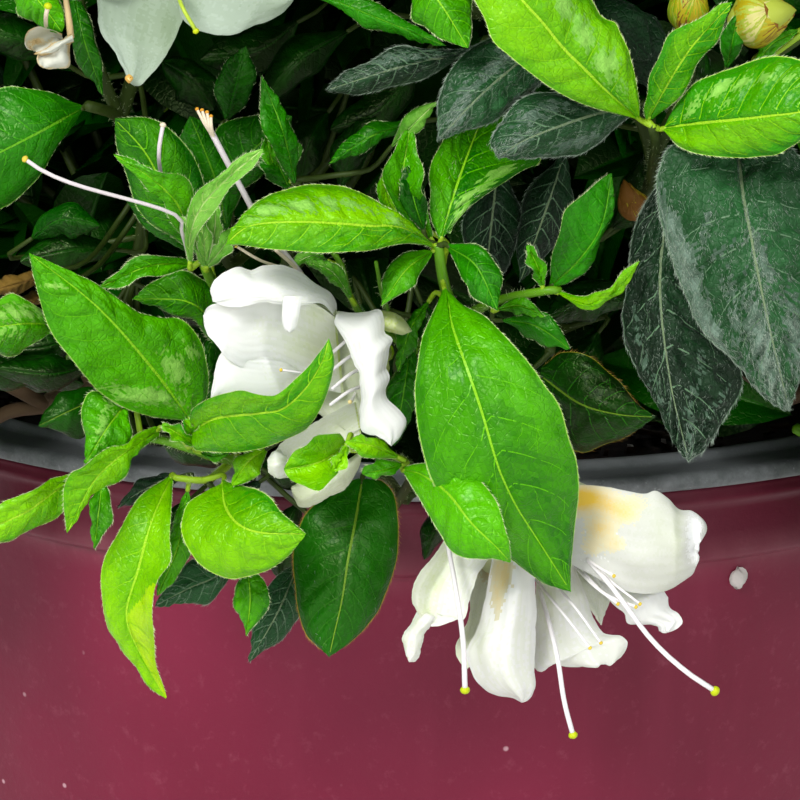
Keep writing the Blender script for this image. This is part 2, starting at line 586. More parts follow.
    # veins: the midrib, the side veins, and on large blades a ladder between them
    up = -1 if under else 1
    N = n * up
    cmid = len(t) // 2
    rows = np.linspace(0, (len(u) - 1) * 0.975, 30)
    if rib:
        ribbon(P, N, rows, np.full(30, cmid + 0.0), np.linspace(0.62, 0.16, 30) * min(1, length / 30), ribs, 0.12)
    if not small:
        for i in range(1, veins):
            for sign in (-1, 1):
                k = np.linspace(0.02, 0.8 + 0.1 * rng.random(), 10)
                wob = np.cumsum(rng.normal(0, 0.12, 10)) * k
                col = np.interp(sign * k, t, np.arange(len(t)))
                ribbon(P, N, i * per + wob + 0.9 * k**4 * per * 0.5, col, np.linspace(0.36 if kind == "old" else 0.26, 0.08, 10), vein, 0.05)
        for _ in range(int((net or 0) * veins)):
            i = rng.random() * (veins - 0.6)
            tcol = (rng.random() * 0.72 + 0.1) * (1 if rng.random() < 0.5 else -1)
            k = np.linspace(0, 1, 6)
            wob = np.cumsum(rng.normal(0, 0.02, 6))
            col = np.interp(tcol + (k - 0.5) * 0.1 * rng.normal(0, 1.4) + wob, t, np.arange(len(t)))
            ribbon(P, N, (np.floor(i) + k * (0.6 + 0.4 * rng.random())) * per, col, 0.09, vein, 0.05)
    if cilia:
        fringe(P, n, int(cilia * 1.5), kind, under)
    if fuzz:
        pile(P, n, int(fuzz * 1.6), kind, under, gloss)
    return P


def fringe(P, n, count, kind, under):
    """Short hairs along both margins, leaning to the tip."""
    slot = {"old": 0, "deep": 2, "mid": 1, "fresh": 1, "lime": 1, "yellow": 1, "pale": 1, "dry": 2}[kind]
    for col, inner in ((0, 1), (-1, -2)):
        edge, inside = P[:, col], P[:, inner]
        seg = np.linalg.norm(np.diff(edge, axis=0), axis=1)
        s = np.r_[0, np.cumsum(seg)]
        w = np.sort(rng.random(count)) * s[-1] * 0.98
        e = np.stack([np.interp(w, s, edge[:, k]) for k in range(3)], 1)
        i = np.stack([np.interp(w, s, inside[:, k]) for k in range(3)], 1)
        g = np.gradient(edge, axis=0)
        fwd = unit(np.stack([np.interp(w, s, g[:, k]) for k in range(3)], 1))
        out = unit(e - i)
        d = unit(out * (0.7 + 0.5 * rng.random((count, 1))) + fwd * (0.5 + 0.9 * rng.random((count, 1)))
                 + (rng.random((count, 3)) - 0.5) * 0.5)
        size = 0.3 + 0.55 * rng.random((count, 1))
        if kind in ("old", "deep"):
            size *= 1.5
        blades(e - out * 0.05, d, size, 0.032, slot)


def blades(base, direction, size, wide, slot):
    """One thin triangle for each hair."""
    c = len(base)
    across = unit(np.cross(direction, AHEAD) + 1e-6) * wide
    pts = np.stack([base - across, base + across, base + direction * size], 1)
    hairs.tris(pts.reshape(-1, 3), np.arange(3 * c).reshape(-1, 3), slot)


def pile(P, n, count, kind, under, gloss):
    """Hairs lying on the upper face, pointing to the tip, thicker in some places than in others."""
    r, c = P.shape[:2]
    i = rng.random(count * 2) * (r - 2)
    j = rng.random(count * 2) * (c - 1.001)
    band = gloss[np.minimum(i.astype(int), r - 2), np.minimum(j.astype(int), c - 2)]
    thick = 0.42 + 0.25 * np.sin(j * 1.3 + i * 0.12) + 0.25 * np.sin(i * 0.35 - j * 0.5) + np.clip(band, 0, 0.6)
    keep = rng.random(count * 2) < thick
    i, j = i[keep][:count], j[keep][:count]
    count = len(i)
    a, b = i.astype(int), j.astype(int)
    fi, fj = (i - a)[:, None], (j - b)[:, None]
    q = (P[a, b] * (1 - fi) + P[a + 1, b] * fi) * (1 - fj) + (P[a, b + 1] * (1 - fi) + P[a + 1, b + 1] * fi) * fj
    fwd = unit(P[a + 1, b] - P[a, b])
    side = unit(P[a, b + 1] - P[a, b])
    up = n[a, b] * (-1 if under else 1)
    d = unit(fwd + side * (rng.random((count, 1)) - 0.5) * 1.6 + up * (0.08 + 0.3 * rng.random((count, 1))))
    size = 0.35 + 0.75 * rng.random((count, 1))
    band = gloss[np.minimum(i.astype(int), r - 2), np.minimum(j.astype(int), c - 2)]
    slot = np.where(rng.random(count) < 0.34 + np.clip(band, 0, 0.5), 0, 3) if kind in ("old", "deep", "dry") else np.full(count, 1)
    q = q + up * 0.06
    across = unit(np.cross(d, up)) * 0.024
    pts = np.stack([q - across, q + across, q + d * size], 1)
    hairs.tris(pts.reshape(-1, 3), np.arange(3 * count).reshape(-1, 3), slot)


def bristle(path, radius, count, slot=1):
    """Hairs standing round a shoot."""
    w = rng.random(count) * (len(path) - 1.001)
    a = w.astype(int)
    f = (w - a)[:, None]
    p = path[a] * (1 - f) + path[a + 1] * f
    along_it = unit(path[a + 1] - path[a])
    out = rng.normal(size=(count, 3))
    out = unit(out - along_it * (out * along_it).sum(1, keepdims=True))
    blades(p + out * radius * 0.9, unit(out + along_it * rng.uniform(0.1, 0.8, (count, 1))), rng.uniform(0.4, 1.1, (count, 1)), 0.026, slot)


def petal(mid, wl, wr, dl=0, dr=0, *, m=0.62, tip=2.4, ruffle=1.0, rows=30, cols=22, level=3.2, throat=0.28, cup=1.6,
          wither=0, crease=0.5, under=False, dim=0):
    """One close-up petal given by its middle line and half widths, with a creased middle and a ruffled margin."""
    u = np.linspace(0, 1, rows) ** 0.95
    t = np.sin(np.linspace(-1, 1, cols) * math.pi / 2)
    U, T = np.meshgrid(u, t, indexing="ij")
    r = rng.random(12)
    frill = 1 + 0.05 * np.sin(T * 9 + r[8] * 6) * step(U, 0.6, 1) + 0.04 * np.sin(U * 23 + r[9] * 6) * np.abs(T) ** 3
    width = petal_profile(U * 0.985, m, tip) * frill
    P = surface(mid, wl, wr, dl, dr, U, T, width, cup)
    return finish_petal(P, U, T, r, ruffle, level, throat, wither, crease, under, None, dim)


def sheet(left, right, fl, fm, fr, *, ruffle=0.6, rows=60, cols=36, level=3.6, throat=0.02, crease=0.0, dark=(), stain=(),
          under=False, dents=(), shade=0.0, wither=0, nick=0.7, dim=0):
    """One close-up petal given by its two margins as they are seen, with its depth along each margin and the middle."""
    u = np.linspace(0, 1, rows)
    t = np.sin(np.linspace(-1, 1, cols) * math.pi / 2)
    U, T = np.meshgrid(u, t, indexing="ij")
    r = rng.random(12)
    L, R = curve(left, U), curve(right, U)
    for q in (L, R):
        for k in (0, 1):
            rough = sum(np.sin(U * f + rng.random() * 6.28) / f**0.5 for f in (13, 29, 47, 71, 103))
            q[..., k] += nick * 1.6 * rough * step(U, 0.1, 0.3) * (1 - step(U, 0.93, 1))
    k = (T + 1) / 2
    x = L[..., 0] * (1 - k) + R[..., 0] * k
    y = L[..., 1] * (1 - k) + R[..., 1] * k
    f = along(fl, U) * (1 - k) + along(fr, U) * k + (along(fm, U) - (along(fl, U) + along(fr, U)) / 2) * (1 - T * T)
    for cu, ct, su, st, much in dents:
        f = f + much * np.exp(-(((U - cu) / su) ** 2) - ((T - ct) / st) ** 2)
    P = at(x, y, f)
    low = np.zeros_like(x)
    for cx, cy, sx, sy, much in dark:
        low = low + much * np.exp(-(((x - cx) / sx) ** 2) - ((y - cy) / sy) ** 2)
    tan = np.zeros_like(x)
    for cx, cy, sx, sy, much in stain:
        tan = tan + much * np.exp(-(((x - cx) / sx) ** 2) - ((y - cy) / sy) ** 2)
    return finish_petal(P, U, T, r, ruffle, level + shade * T - low, throat, wither, crease, under, tan, dim)


def finish_petal(P, U, T, r, ruffle, level, throat, wither, crease, under, tan, dim=0):
    n = normals(P)
    A = np.abs(T)
    seam = np.minimum(np.minimum(U, 1 - U) * 6, 1) * 0.5 + 0.5
    h = -crease * np.exp(-((T / 0.1) ** 2)) * (1 - step(U, 0.8, 1))
    h = h + ruffle * 0.7 * (np.sin(T * (5 + 3 * r[0]) + r[1] * 6) * step(U, 0.5, 1.0)
                            + 0.8 * np.sin(U * (9 + 6 * r[2]) + r[3] * 6) * A**3 * step(U, 0.2, 0.5))
    h = h + 0.2 * ruffle * np.sin(T * 15 + r[4] * 6) * step(U, 0.7, 1.0)
    h = h + (0.025 if dim else 0.05) * np.sin(T * 30 + r[5] * 6) * (1 - step(U, 0.6, 0.95))
    h = h + 0.14 * ruffle * waves(U * 22, T * 9, 0, 1.1)
    if wither:
        h = h + wither * np.sin(U * 11 + r[6] * 6) * np.sin(T * 4 + r[7] * 6)
    P = P + n * (h * seam)[..., None] * (-1 if under else 1)

    def middle(q):
        return q if np.ndim(q) == 0 else (q[:-1, :-1] + q[1:, 1:]) / 2

    uc, tc = middle(U), middle(T)
    val = middle(level) - 3.6 * (1 - step(uc, 0.0, throat)) + 0.25 * np.sin(uc * 5 + r[10] * 6) - (0.08 if dim else 0.16) * np.sin(tc * 30 + r[5] * 6)
    steps = SOFTS if dim else WHITES
    val = val * (steps - 1) / 4 + (rng.random(uc.shape) - 0.5) * (0.8 if dim else 0.7)
    slots = np.clip(np.round(val), 0, steps - 1).astype(int) + dim
    if tan is not None and np.max(tan) > 0.02:
        y = middle(tan) * (1 + 0.25 * waves(uc * 20, tc * 8, 0, 1.2, 4)) + (rng.random(uc.shape) - 0.5) * 0.1
        slots = np.where(y > 0.08, P_STAIN + np.clip(np.round(y * (STAINS - 1)), 0, STAINS - 1).astype(int), slots)
    if wither:
        edge = np.maximum(np.abs(tc), uc) + 0.16 * waves(uc * 9, tc * 4, 0, 1.0, 4)
        val = 4.2 - 3.0 * step(edge, 0.68, 1.0) + middle(level) - 4 + (rng.random(uc.shape) - 0.5) * 0.6
        slots = P_OLD + np.clip(np.round(val), 0, 4).astype(int)
    petals.grid(P, slots)
    return P


def filament(points, r0, r1, slot, knob=None, knob_r=0.9, sides=7):
    """A pistil or stamen through places in the frame, with a knob at its tip."""
    path = smooth_path([at(*q) for q in points], 18)
    petals.tube(path, np.linspace(r0, r1, 18), sides, slot)
    if knob is not None:
        d = unit(path[-1] - path[-2])
        s = np.array([-0.95, -0.7, -0.3, 0.15, 0.6, 0.92])
        petals.tube(path[-1] + d * (s[:, None] * knob_r * 0.8), knob_r * np.sqrt(1.02 - s**2), 9, knob, blunt=0.2)
    return path


def bud(mid, r, slots=(P_BUD, P_BUDSTRAW), scales=7):
    """A scaly bud: pointed scales that overlap round an egg, the lowest outermost, streaked along their length."""
    path = smooth_path([at(*q) for q in mid], 12)
    s = np.linspace(0.03, 1, 12)
    petals.tube(path, r * np.sin(math.pi * s**0.75) ** 0.8 * 0.8 + 0.12, 12, slots[1])
    d = unit(path[-1] - path[0])
    a = unit(np.cross(d, [0.3, 0.2, 1.0]))
    b = np.cross(d, a)
    u, t = np.meshgrid(np.linspace(0, 1, 19 if r > 2 else 9), np.linspace(-1, 1, 45 if r > 2 else 9), indexing="ij")
    uc, tc = (u[:-1, :-1] + u[1:, 1:]) / 2, (t[:-1, :-1] + t[1:, 1:]) / 2
    for i in range(scales * 2):
        f = i / (scales * 2 - 1)
        phi = i * 2.4
        lift = 0.02 + 0.4 * f
        e = math.cos(phi) * a + math.sin(phi) * b
        w = np.cross(d, e)
        z = lift + (0.72 + 0.3 * f - lift) * u
        body = np.sin(math.pi * np.clip(z, 0.02, 0.985) ** 0.75) ** 0.8
        rad = r * (body * (0.98 - 0.12 * f) + 0.05 - 0.05 * f + 0.02 * np.cos(t * 2) + 0.012 * np.sin(t * 16 + i))
        wid = 1.2 * np.sin(math.pi * (0.25 + 0.75 * u)) ** 0.6 * t
        line = np.stack([np.interp(z, np.linspace(0, 1, 12), path[:, k]) for k in range(3)], -1)
        q = line + e * (rad * np.cos(wid))[..., None] + w * (rad * np.sin(wid))[..., None]
        lines = rng.random(tc.shape[1])
        lines = 0.7 * lines + 0.3 * np.roll(lines, 1)
        below = (np.sin(phi) * b + np.cos(phi) * a)[2] < -0.3
        v = 0.62 * lines[None, :] + 0.2 * np.sin(uc * 5 + 2.2 * tc + i) + 0.16 * rng.random(uc.shape) + (0.28 if below else 0.06) + 0.2 * (uc < 0.15)
        slot = np.select([v < 0.3, v < 0.52, v < 0.86], [slots[0], slots[1], slots[-2]], slots[-1])
        slot = np.where(uc > 0.965, slots[-1], slot)
        petals.grid(q, slot)


# ---- where each close-up leaf and petal is seen: x and y in the frame, and mm in front of the pot's axis ----
# the low left cluster
leaf([(190, 420, 178), (150, 366, 186), (96, 306, 193), (29, 253, 197)],
     [(189, 422), (156, 418), (128, 410), (108, 398), (92, 384), (66, 352), (51, 329), (41, 301), (34, 276), (29, 253)],
     [(194, 416), (207, 400), (210, 378), (207, 357), (202, 342), (191, 327), (179, 318), (163, 316), (143, 310), (128, 301), (102, 286), (77, 273), (51, 261), (29, 253)],
     (0, 4, 2), (-2, -6, -3), "fresh", m=0.4, quilt=0.42, wave=0.5, level=2.9, grad=-0.3, cilia=110, veins=8, net=2, groove=0.35, fine=2,
     shine=((176, 372, 22, 10, 60, 0.5), (190, 350, 14, 6, 50, 0.4), (132, 394, 28, 7, 8, 0.8), (160, 398, 20, 6, 20, 0.6), (54, 286, 10, 2.5, 6, 0.5)))
leaf([(189, 434, 186), (214, 419, 196), (258, 414, 203), (283, 409, 205), (306, 388, 207), (322, 362, 208), (329, 338, 207)],
     [(188, 426), (190, 412), (199, 405), (209, 400), (223, 397), (240, 394), (258, 396), (273, 397), (283, 392), (294, 383), (308, 369), (318, 355), (325, 345), (329, 338)],
     [(189, 438), (192, 450), (206, 453), (223, 455), (240, 454), (258, 450), (273, 446), (292, 440), (308, 431), (321, 410), (328, 393), (333, 376), (335, 362), (333, 350), (329, 338)],
     (2, 3, 1, 0), (-3, -4, -3, -1), "lime", m=0.36, quilt=0.12, wave=0.3, level=1.2, grad=-0.2, cilia=80, pucker=0.1)
leaf([(172, 476, 178), (152, 520, 188), (138, 570, 190), (126, 615, 190), (139, 652, 188), (166, 698, 184)],
     [(171, 476), (171, 497), (170, 520), (167, 546), (166, 559), (158, 571), (154, 581), (153, 602), (151, 635), (151, 656), (154, 669), (161, 682), (167, 697)],
     [(170, 475), (153, 485), (138, 497), (125, 515), (115, 533), (105, 553), (101, 574), (102, 597), (103, 620), (107, 635), (115, 645), (122, 656), (135, 668), (143, 681), (151, 690), (166, 699)],
     (2, 4, 7, 2), (-2, -3, -2, 0), "lime", m=0.42, quilt=0.12, wave=0.6, level=2.8, grad=0.5, cilia=120, veins=9, back=(-1, 0.48, "yellow"), right_shade=0.0, pucker=0.12)
leaf([(222, 482, 182), (225, 506, 190), (238, 524, 196), (262, 533, 199), (306, 534, 199)],
     [(222, 480), (240, 483), (257, 489), (270, 497), (283, 513), (296, 525), (306, 534)],
     [(219, 485), (204, 490), (186, 502), (180, 525), (184, 541), (194, 559), (204, 569), (217, 578), (232, 582), (250, 578), (268, 571), (286, 559), (298, 546), (306, 534)],
     (-2, -3, -2, 0), (-1, -3, -4, -1), "lime", m=0.46, quilt=0.36, wave=0.4, level=1.4, cilia=100, net=1, right_shade=1.0)
leaf([(268, 448, 186), (248, 462, 189), (232, 486, 187)], (14, 17, 10), (10, 13, 8), 1, -2, "lime", m=0.5, level=2.6, quilt=0.15, cilia=40, veins=5)
leaf([(247, 566, 184), (250, 600, 186), (246, 636, 185)], (13, 20, 12), (14, 20, 10), 1, -2, "fresh", m=0.4, level=1.8, quilt=0.35, cilia=70, veins=6)
leaf([(188, 488, 178), (178, 545, 181), (157, 596, 181)], (12, 17, 13), (12, 16, 12), -1, -2, "fresh", m=0.5, level=2.4, quilt=0.4, cilia=80, veins=7)
leaf([(126, 404, 184), (106, 430, 191), (85, 464, 192)],
     [(126, 404), (131, 418), (134, 432), (128, 446), (110, 456), (85, 464)],
     [(124, 402), (108, 392), (92, 390), (83, 400), (81, 425), (83, 445), (85, 464)],
     (0, -2, 0), (0, -3, -1), "fresh", m=0.5, level=2.4, quilt=0.45, cilia=90, veins=7, net=2, fine=2, shine=((102, 424, 24, 6, 98, 0.42), (112, 404, 12, 4, 70, 0.3)))
leaf([(158, 430, 184), (136, 445, 192), (112, 463, 196), (92, 485, 198), (67, 533, 198)],
     [(160, 436), (145, 449), (134, 459), (129, 472), (120, 482), (102, 492), (87, 505), (77, 520), (67, 533)],
     [(157, 426), (138, 434), (128, 446), (112, 451), (97, 457), (84, 467), (74, 473), (68, 483), (65, 503), (67, 533)],
     (-2, -3, 0), (2, 3, 1), "lime", m=0.5, level=2.0, quilt=0.28, cilia=100, wave=0.4)
leaf([(100, 466, 184), (59, 489, 192), (25, 513, 196), (-28, 536, 198)],
     [(98, 472), (62, 513), (51, 523), (33, 533), (15, 541), (0, 543), (-28, 540)],
     [(98, 464), (66, 478), (51, 482), (33, 490), (15, 500), (0, 508), (-28, 532)], (-2, -3, -1), (1, 2, 0), "lime", m=0.5, level=2.2,
     quilt=0.2, cilia=90, right_shade=0.6)
leaf([(102, 480, 176), (98, 515, 180), (94, 549, 181)], (11, 13, 8), (11, 11, 8), 1, -2, "fresh", m=0.42, level=1.8, cilia=60, veins=6)
leaf([(240, 552, 166), (217, 576, 172), (190, 588, 174), (155, 606, 174)], (14, 22, 10), (16, 26, 14), -2, -3, "old", m=0.5, level=3.6, fuzz=260, cilia=60, net=3)
leaf([(300, 560, 164), (278, 612, 170), (249, 662, 171)], (22, 24, 14), (24, 28, 16), -3, -4, "old", m=0.45, level=2.8, fuzz=260, cilia=80, net=3)
leaf([(362, 480, 172), (355, 523, 179), (348, 560, 182), (342, 600, 184), (334, 635, 184), (329, 657, 184)],
     [(368, 478), (380, 479), (393, 492), (398, 513), (399, 538), (397, 564), (390, 589), (380, 612), (365, 630), (349, 645), (329, 657)],
     [(358, 478), (344, 482), (319, 500), (304, 515), (295, 538), (292, 559), (293, 584), (296, 610), (304, 633), (314, 645), (329, 657)],
     (0, -4, -3), (0, -4, -3), "deep", m=0.46, level=3.4, grad=-0.4, quilt=0.2, groove=0.3, cilia=190, fuzz=60, veins=8, wave=0.3, net=4)
leaf([(346, 446, 198), (320, 462, 204), (284, 470, 205)],
     [(345, 452), (338, 470), (328, 482), (312, 486), (296, 482), (284, 470)],
     [(345, 440), (341, 434), (324, 437), (301, 449), (284, 468)], (5, 6, 2), (3, 3, 1), "lime", m=0.45, level=2.8, quilt=0.08, cilia=50, veins=5, right_shade=-0.6)
leaf([(347, 444, 200), (342, 458, 204), (332, 474, 205)], (4, 5, 3), (4, 5, 3), 1, 1, "lime", m=0.5, level=3.4, cilia=20, veins=5)
leaf([(400, 458, 194), (372, 446, 200), (345, 441, 201)], (9, 12, 8), (8, 12, 7), 1, -2, "lime", m=0.5, level=2.6, cilia=50, veins=6)
leaf([(404, 464, 192), (384, 470, 197), (362, 474, 198)], (8, 9, 7), (8, 10, 7), -1, 1, "fresh", m=0.5, level=2.4, cilia=50, veins=5)
leaf([(403, 470, 192), (420, 474, 201), (446, 492, 210), (471, 523, 215), (497, 548, 216), (510, 562, 214)],
     [(405, 466), (418, 463), (436, 462), (451, 465), (469, 472), (482, 482), (494, 497), (501, 513), (505, 528), (510, 543), (511, 562)],
     [(403, 473), (413, 490), (423, 505), (431, 520), (441, 538), (451, 551), (464, 558), (482, 560), (497, 560), (510, 563)],
     (0, -2, -1), (0, -3, -1), "fresh", m=0.48, level=3.4, quilt=0.3, cilia=130, veins=8, net=1.5, wave=0.15, recurve=0.2)
leaf([(196, 446, 186), (178, 434, 190), (162, 424, 190)], (4, 5, 3), (4, 5, 3), 1, 1, "lime", m=0.5, level=1.8, quilt=0.04, cilia=50, veins=5)
leaf([(194, 444, 184), (190, 430, 188), (184, 420, 188)], (3, 4, 3), (3, 4, 3), 1, 1, "lime", m=0.5, level=1.4, quilt=0.04, cilia=40, veins=5)
leaf([(192, 444, 186), (204, 430, 190), (214, 418, 189)], (4, 6, 4), (4, 6, 4), 1, 1, "lime", m=0.5, level=2.0, cilia=40, veins=5)
leaf([(200, 452, 184), (214, 456, 187), (230, 452, 187)], (5, 6, 4), (5, 7, 4), 1, 0, "fresh", m=0.5, level=1.6, cilia=40, veins=5)
leaf([(424, 232, 190), (414, 200, 193), (407, 166, 192)], (10, 14, 8), (9, 12, 7), 1, 1, "mid", m=0.5, level=0.3, cilia=30, veins=5)
# the node in the middle
leaf([(445, 286, 190), (449, 305, 196), (451, 321, 200), (461, 352, 206), (471, 380, 209), (482, 413, 211), (494, 454, 212), (502, 477, 211), (517, 508, 209), (533, 533, 206), (553, 564, 203), (571, 592, 200)],
     [(448, 291), (466, 304), (484, 314), (502, 332), (520, 352), (535, 370), (548, 388), (558, 400), (566, 418), (573, 444), (579, 464), (580, 482), (579, 500), (576, 523), (574, 546), (572, 569), (571, 592)],
     [(443, 289), (438, 298), (428, 319), (420, 339), (416, 362), (413, 385), (414, 405), (418, 431), (424, 457), (432, 482), (447, 510), (466, 532), (488, 549), (510, 561), (528, 574), (543, 584), (558, 589), (571, 592)],
     (0, -3, -5, -3), (0, -4, -5, -3), "fresh", m=0.44, level=1.9, grad=-0.6, quilt=0.36, groove=0.4, cilia=190, veins=9, wave=0.5, net=3, pucker=0.22)
leaf([(433, 245, 192), (424, 238, 196), (400, 227, 203), (370, 226, 207), (344, 224, 209), (306, 222, 211), (268, 223, 212), (245, 228, 212), (226, 244, 211)],
     [(434, 247), (415, 244), (400, 245), (370, 250), (337, 252), (306, 251), (270, 249), (245, 246), (226, 245)],
     [(433, 243), (425, 237), (413, 222), (400, 211), (383, 203), (365, 194), (344, 186), (321, 181), (301, 181), (281, 186), (265, 194), (252, 204), (240, 217), (230, 232), (226, 245)],
     (0, 2, 1, 0), (0, -8, -8, -2), "lime", m=0.52, level=1.2, quilt=0.26, cilia=120, veins=8, net=1, right_shade=1.0, fine=2, shine=((300, 206, 34, 7, -4, 0.45), (262, 214, 16, 6, -30, 0.5), (352, 206, 26, 5, 12, 0.35), (398, 222, 16, 4, 35, 0.35)))
leaf([(434, 250, 192), (406, 270, 199), (381, 306, 200)], (15, 17, 10), (14, 20, 12), 0, -3, "fresh", m=0.45, level=2.4, quilt=0.2, cilia=60, veins=6)
leaf([(447, 246, 194), (476, 266, 202), (498, 311, 203)],
     [(449, 243), (470, 242), (488, 250), (499, 264), (503, 286), (498, 311)],
     [(447, 248), (456, 266), (466, 284), (480, 300), (498, 311)], -2, (1, 2, 0), "mid", m=0.55, level=2.5, quilt=0.1, cilia=70, veins=7)
leaf([(441, 240, 190), (451, 204, 190), (461, 173, 186), (475, 135, 178), (488, 104, 170)],
     [(438, 238), (431, 217), (431, 190), (433, 170), (439, 150), (452, 128), (488, 104)],
     [(448, 232), (466, 212), (487, 194), (510, 179), (528, 168), (543, 160), (536, 136), (514, 116), (488, 104)],
     (0, 3, 2, 0), (0, -5, -4, -1), "fresh", m=0.5, level=1.9, quilt=0.42, cilia=80, veins=7, net=2, right_shade=-1.0, fuzz=120, shine=((490, 180, 34, 5, -38, 0.5), (462, 208, 20, 5, -60, 0.5)))
leaf([(432, 240, 188), (404, 190, 192), (410, 126, 190)], (12, 16, 12), (14, 18, 10), (3, 5, 1), (2, 4, 1), "fresh", m=0.5, level=2.4, quilt=0.2, cilia=60, veins=7)
leaf([(390, 148, 186), (412, 126, 191), (437, 102, 191)], (9, 12, 8), (8, 10, 7), 0, -1, "pale", m=0.5, level=1.6, cilia=40, veins=5)
leaf([(430, 232, 184), (392, 206, 188), (386, 170, 188)], (8, 10, 6), (8, 12, 8), 2, 1, "lime", m=0.5, level=1.8, cilia=40, veins=5)
# the side shoot
leaf([(543, 288, 190), (538, 268, 192), (527, 245, 193)], 5, 5, 1, 1, "fresh", m=0.45, level=2.6, veins=5, cilia=30)
leaf([(551, 286, 190), (578, 262, 195), (602, 226, 197), (612, 174, 196)],
     [(549, 282), (551, 262), (558, 238), (568, 214), (582, 196), (600, 182), (611, 173)],
     [(553, 288), (570, 284), (590, 268), (602, 248), (610, 224), (615, 198), (612, 174)],
     (2, 4, 1), (-1, -3, 0), "mid", m=0.5, level=2.8, quilt=0.22, cilia=90, veins=8, net=1)
leaf([(556, 292, 190), (588, 304, 197), (616, 290, 199), (640, 261, 200)], 6, 7, 1, -1, "lime", m=0.45, level=2.4, quilt=0.1, cilia=60, veins=6)
leaf([(496, 310, 184), (520, 306, 189), (545, 317, 189)], (7, 9, 5), (8, 11, 6), 0, -1, "fresh", m=0.45, level=2.0, cilia=40, veins=5)
leaf([(500, 320, 182), (535, 326, 188), (570, 349, 188)], (10, 16, 9), (12, 18, 10), 0, -2, "mid", m=0.5, level=2.8, quilt=0.15, cilia=50, veins=6)
# the bright tuft at the upper right
leaf([(638, 119, 204), (624, 107, 208), (604, 89, 212), (584, 69, 215), (563, 48, 217), (543, 23, 219), (522, 0, 220), (470, -60, 219), (424, -124, 214)],
     [(636, 119), (624, 117), (604, 112), (579, 103), (553, 89), (528, 71), (510, 56), (494, 41), (487, 20), (476, 0), (450, -50), (424, -124)],
     [(640, 117), (641, 107), (638, 89), (635, 71), (630, 51), (624, 36), (617, 20), (604, 13), (596, 0), (566, -44), (500, -96), (424, -124)],
     (0, 2, 1, 0), (0, -8, -7, -2), "lime", m=0.5, level=2.4, quilt=0.4, groove=0.4, cilia=150, veins=9, net=2, right_shade=-0.9, fine=2, shine=((598, 56, 34, 8, 62, 0.5), (574, 20, 26, 7, 60, 0.5), (616, 70, 22, 6, 70, 0.45), (560, 0, 20, 8, 50, 0.4)))
leaf([(649, 119, 204), (658, 102, 208), (673, 76, 212), (693, 46, 215), (716, 20, 217), (732, 3, 217)],
     [(646, 120), (644, 112), (648, 97), (650, 76), (660, 56), (670, 38), (688, 28), (704, 18), (719, 5), (732, 2)],
     [(654, 119), (668, 110), (681, 97), (693, 79), (706, 59), (719, 38), (727, 20), (732, 3)],
     (1, 2, 0), (-1, -3, 0), "lime", m=0.5, level=1.0, quilt=0.22, cilia=100, veins=8, net=1, right_shade=-0.9)
leaf([(663, 128, 204), (686, 125, 208), (714, 122, 213), (744, 119, 217), (770, 116, 220), (800, 112, 222), (842, 100, 223)],
     [(665, 125), (670, 112), (681, 97), (693, 84), (706, 76), (729, 66), (752, 59), (777, 56), (800, 59), (822, 70), (842, 100)],
     [(663, 131), (675, 145), (693, 153), (719, 158), (744, 161), (767, 159), (783, 153), (800, 140), (820, 122), (842, 100)],
     (0, -6, -4), (0, -3, -2), "lime", m=0.48, level=0.2, quilt=0.46, cilia=140, veins=9, net=2, right_shade=1.1, fine=2, shine=((714, 92, 24, 5, -30, 0.46), (748, 82, 22, 5, -16, 0.42), (690, 112, 16, 4, -30, 0.28), (786, 78, 18, 5, 0, 0.34), (724, 104, 14, 3, -30, 0.3)))
leaf([(726, 70, 200), (732, 44, 205), (738, 14, 206)], (10, 13, 8), (10, 14, 8), 0, -1, "mid", m=0.5, level=2.6, cilia=50, veins=6)
leaf([(800, 30, 198), (772, 44, 204), (756, 66, 204)], 9, 10, 0, -1, "fresh", m=0.5, level=2.0, cilia=40, veins=5)
# old hairy leaves
leaf([(480, 50, 190), (405, 66, 199), (327, 90, 200)], (14, 22, 14), (14, 22, 14), -3, -3, "old", m=0.55, level=0.8, fuzz=1200, cilia=140, veins=7, net=2, silver=((400, 58, 40, 6, 170, 0.35),))
leaf([(556, 36, 196), (520, 62, 203), (480, 96, 208), (438, 140, 208)],
     [(552, 42), (548, 70), (536, 90), (512, 110), (488, 124), (462, 134), (438, 140)],
     [(548, 30), (510, 30), (482, 40), (462, 56), (444, 80), (435, 106), (438, 140)], (-2, -4, -2), (-2, -4, -2), "old", m=0.5, level=2.8, fuzz=1800, cilia=150, veins=7, net=2, pucker=0.35, silver=((500, 62, 34, 7, 140, 0.45), (460, 110, 26, 8, 110, 0.5), (520, 100, 24, 6, 140, 0.35)))
leaf([(640, 104, 196), (590, 116, 205), (530, 138, 209), (498, 157, 209)],
     [(640, 110), (610, 136), (580, 154), (548, 161), (520, 160), (498, 157)],
     [(634, 100), (600, 92), (560, 88), (522, 98), (500, 120), (490, 142), (498, 157)], (-3, -6, -2), (-2, -4, -2), "old", m=0.5, level=2.2, fuzz=1700, cilia=150, veins=7, net=2, pucker=0.35, silver=((540, 112, 30, 7, 160, 0.4), (580, 140, 30, 6, 160, 0.35), (520, 142, 16, 7, 150, 0.4)))
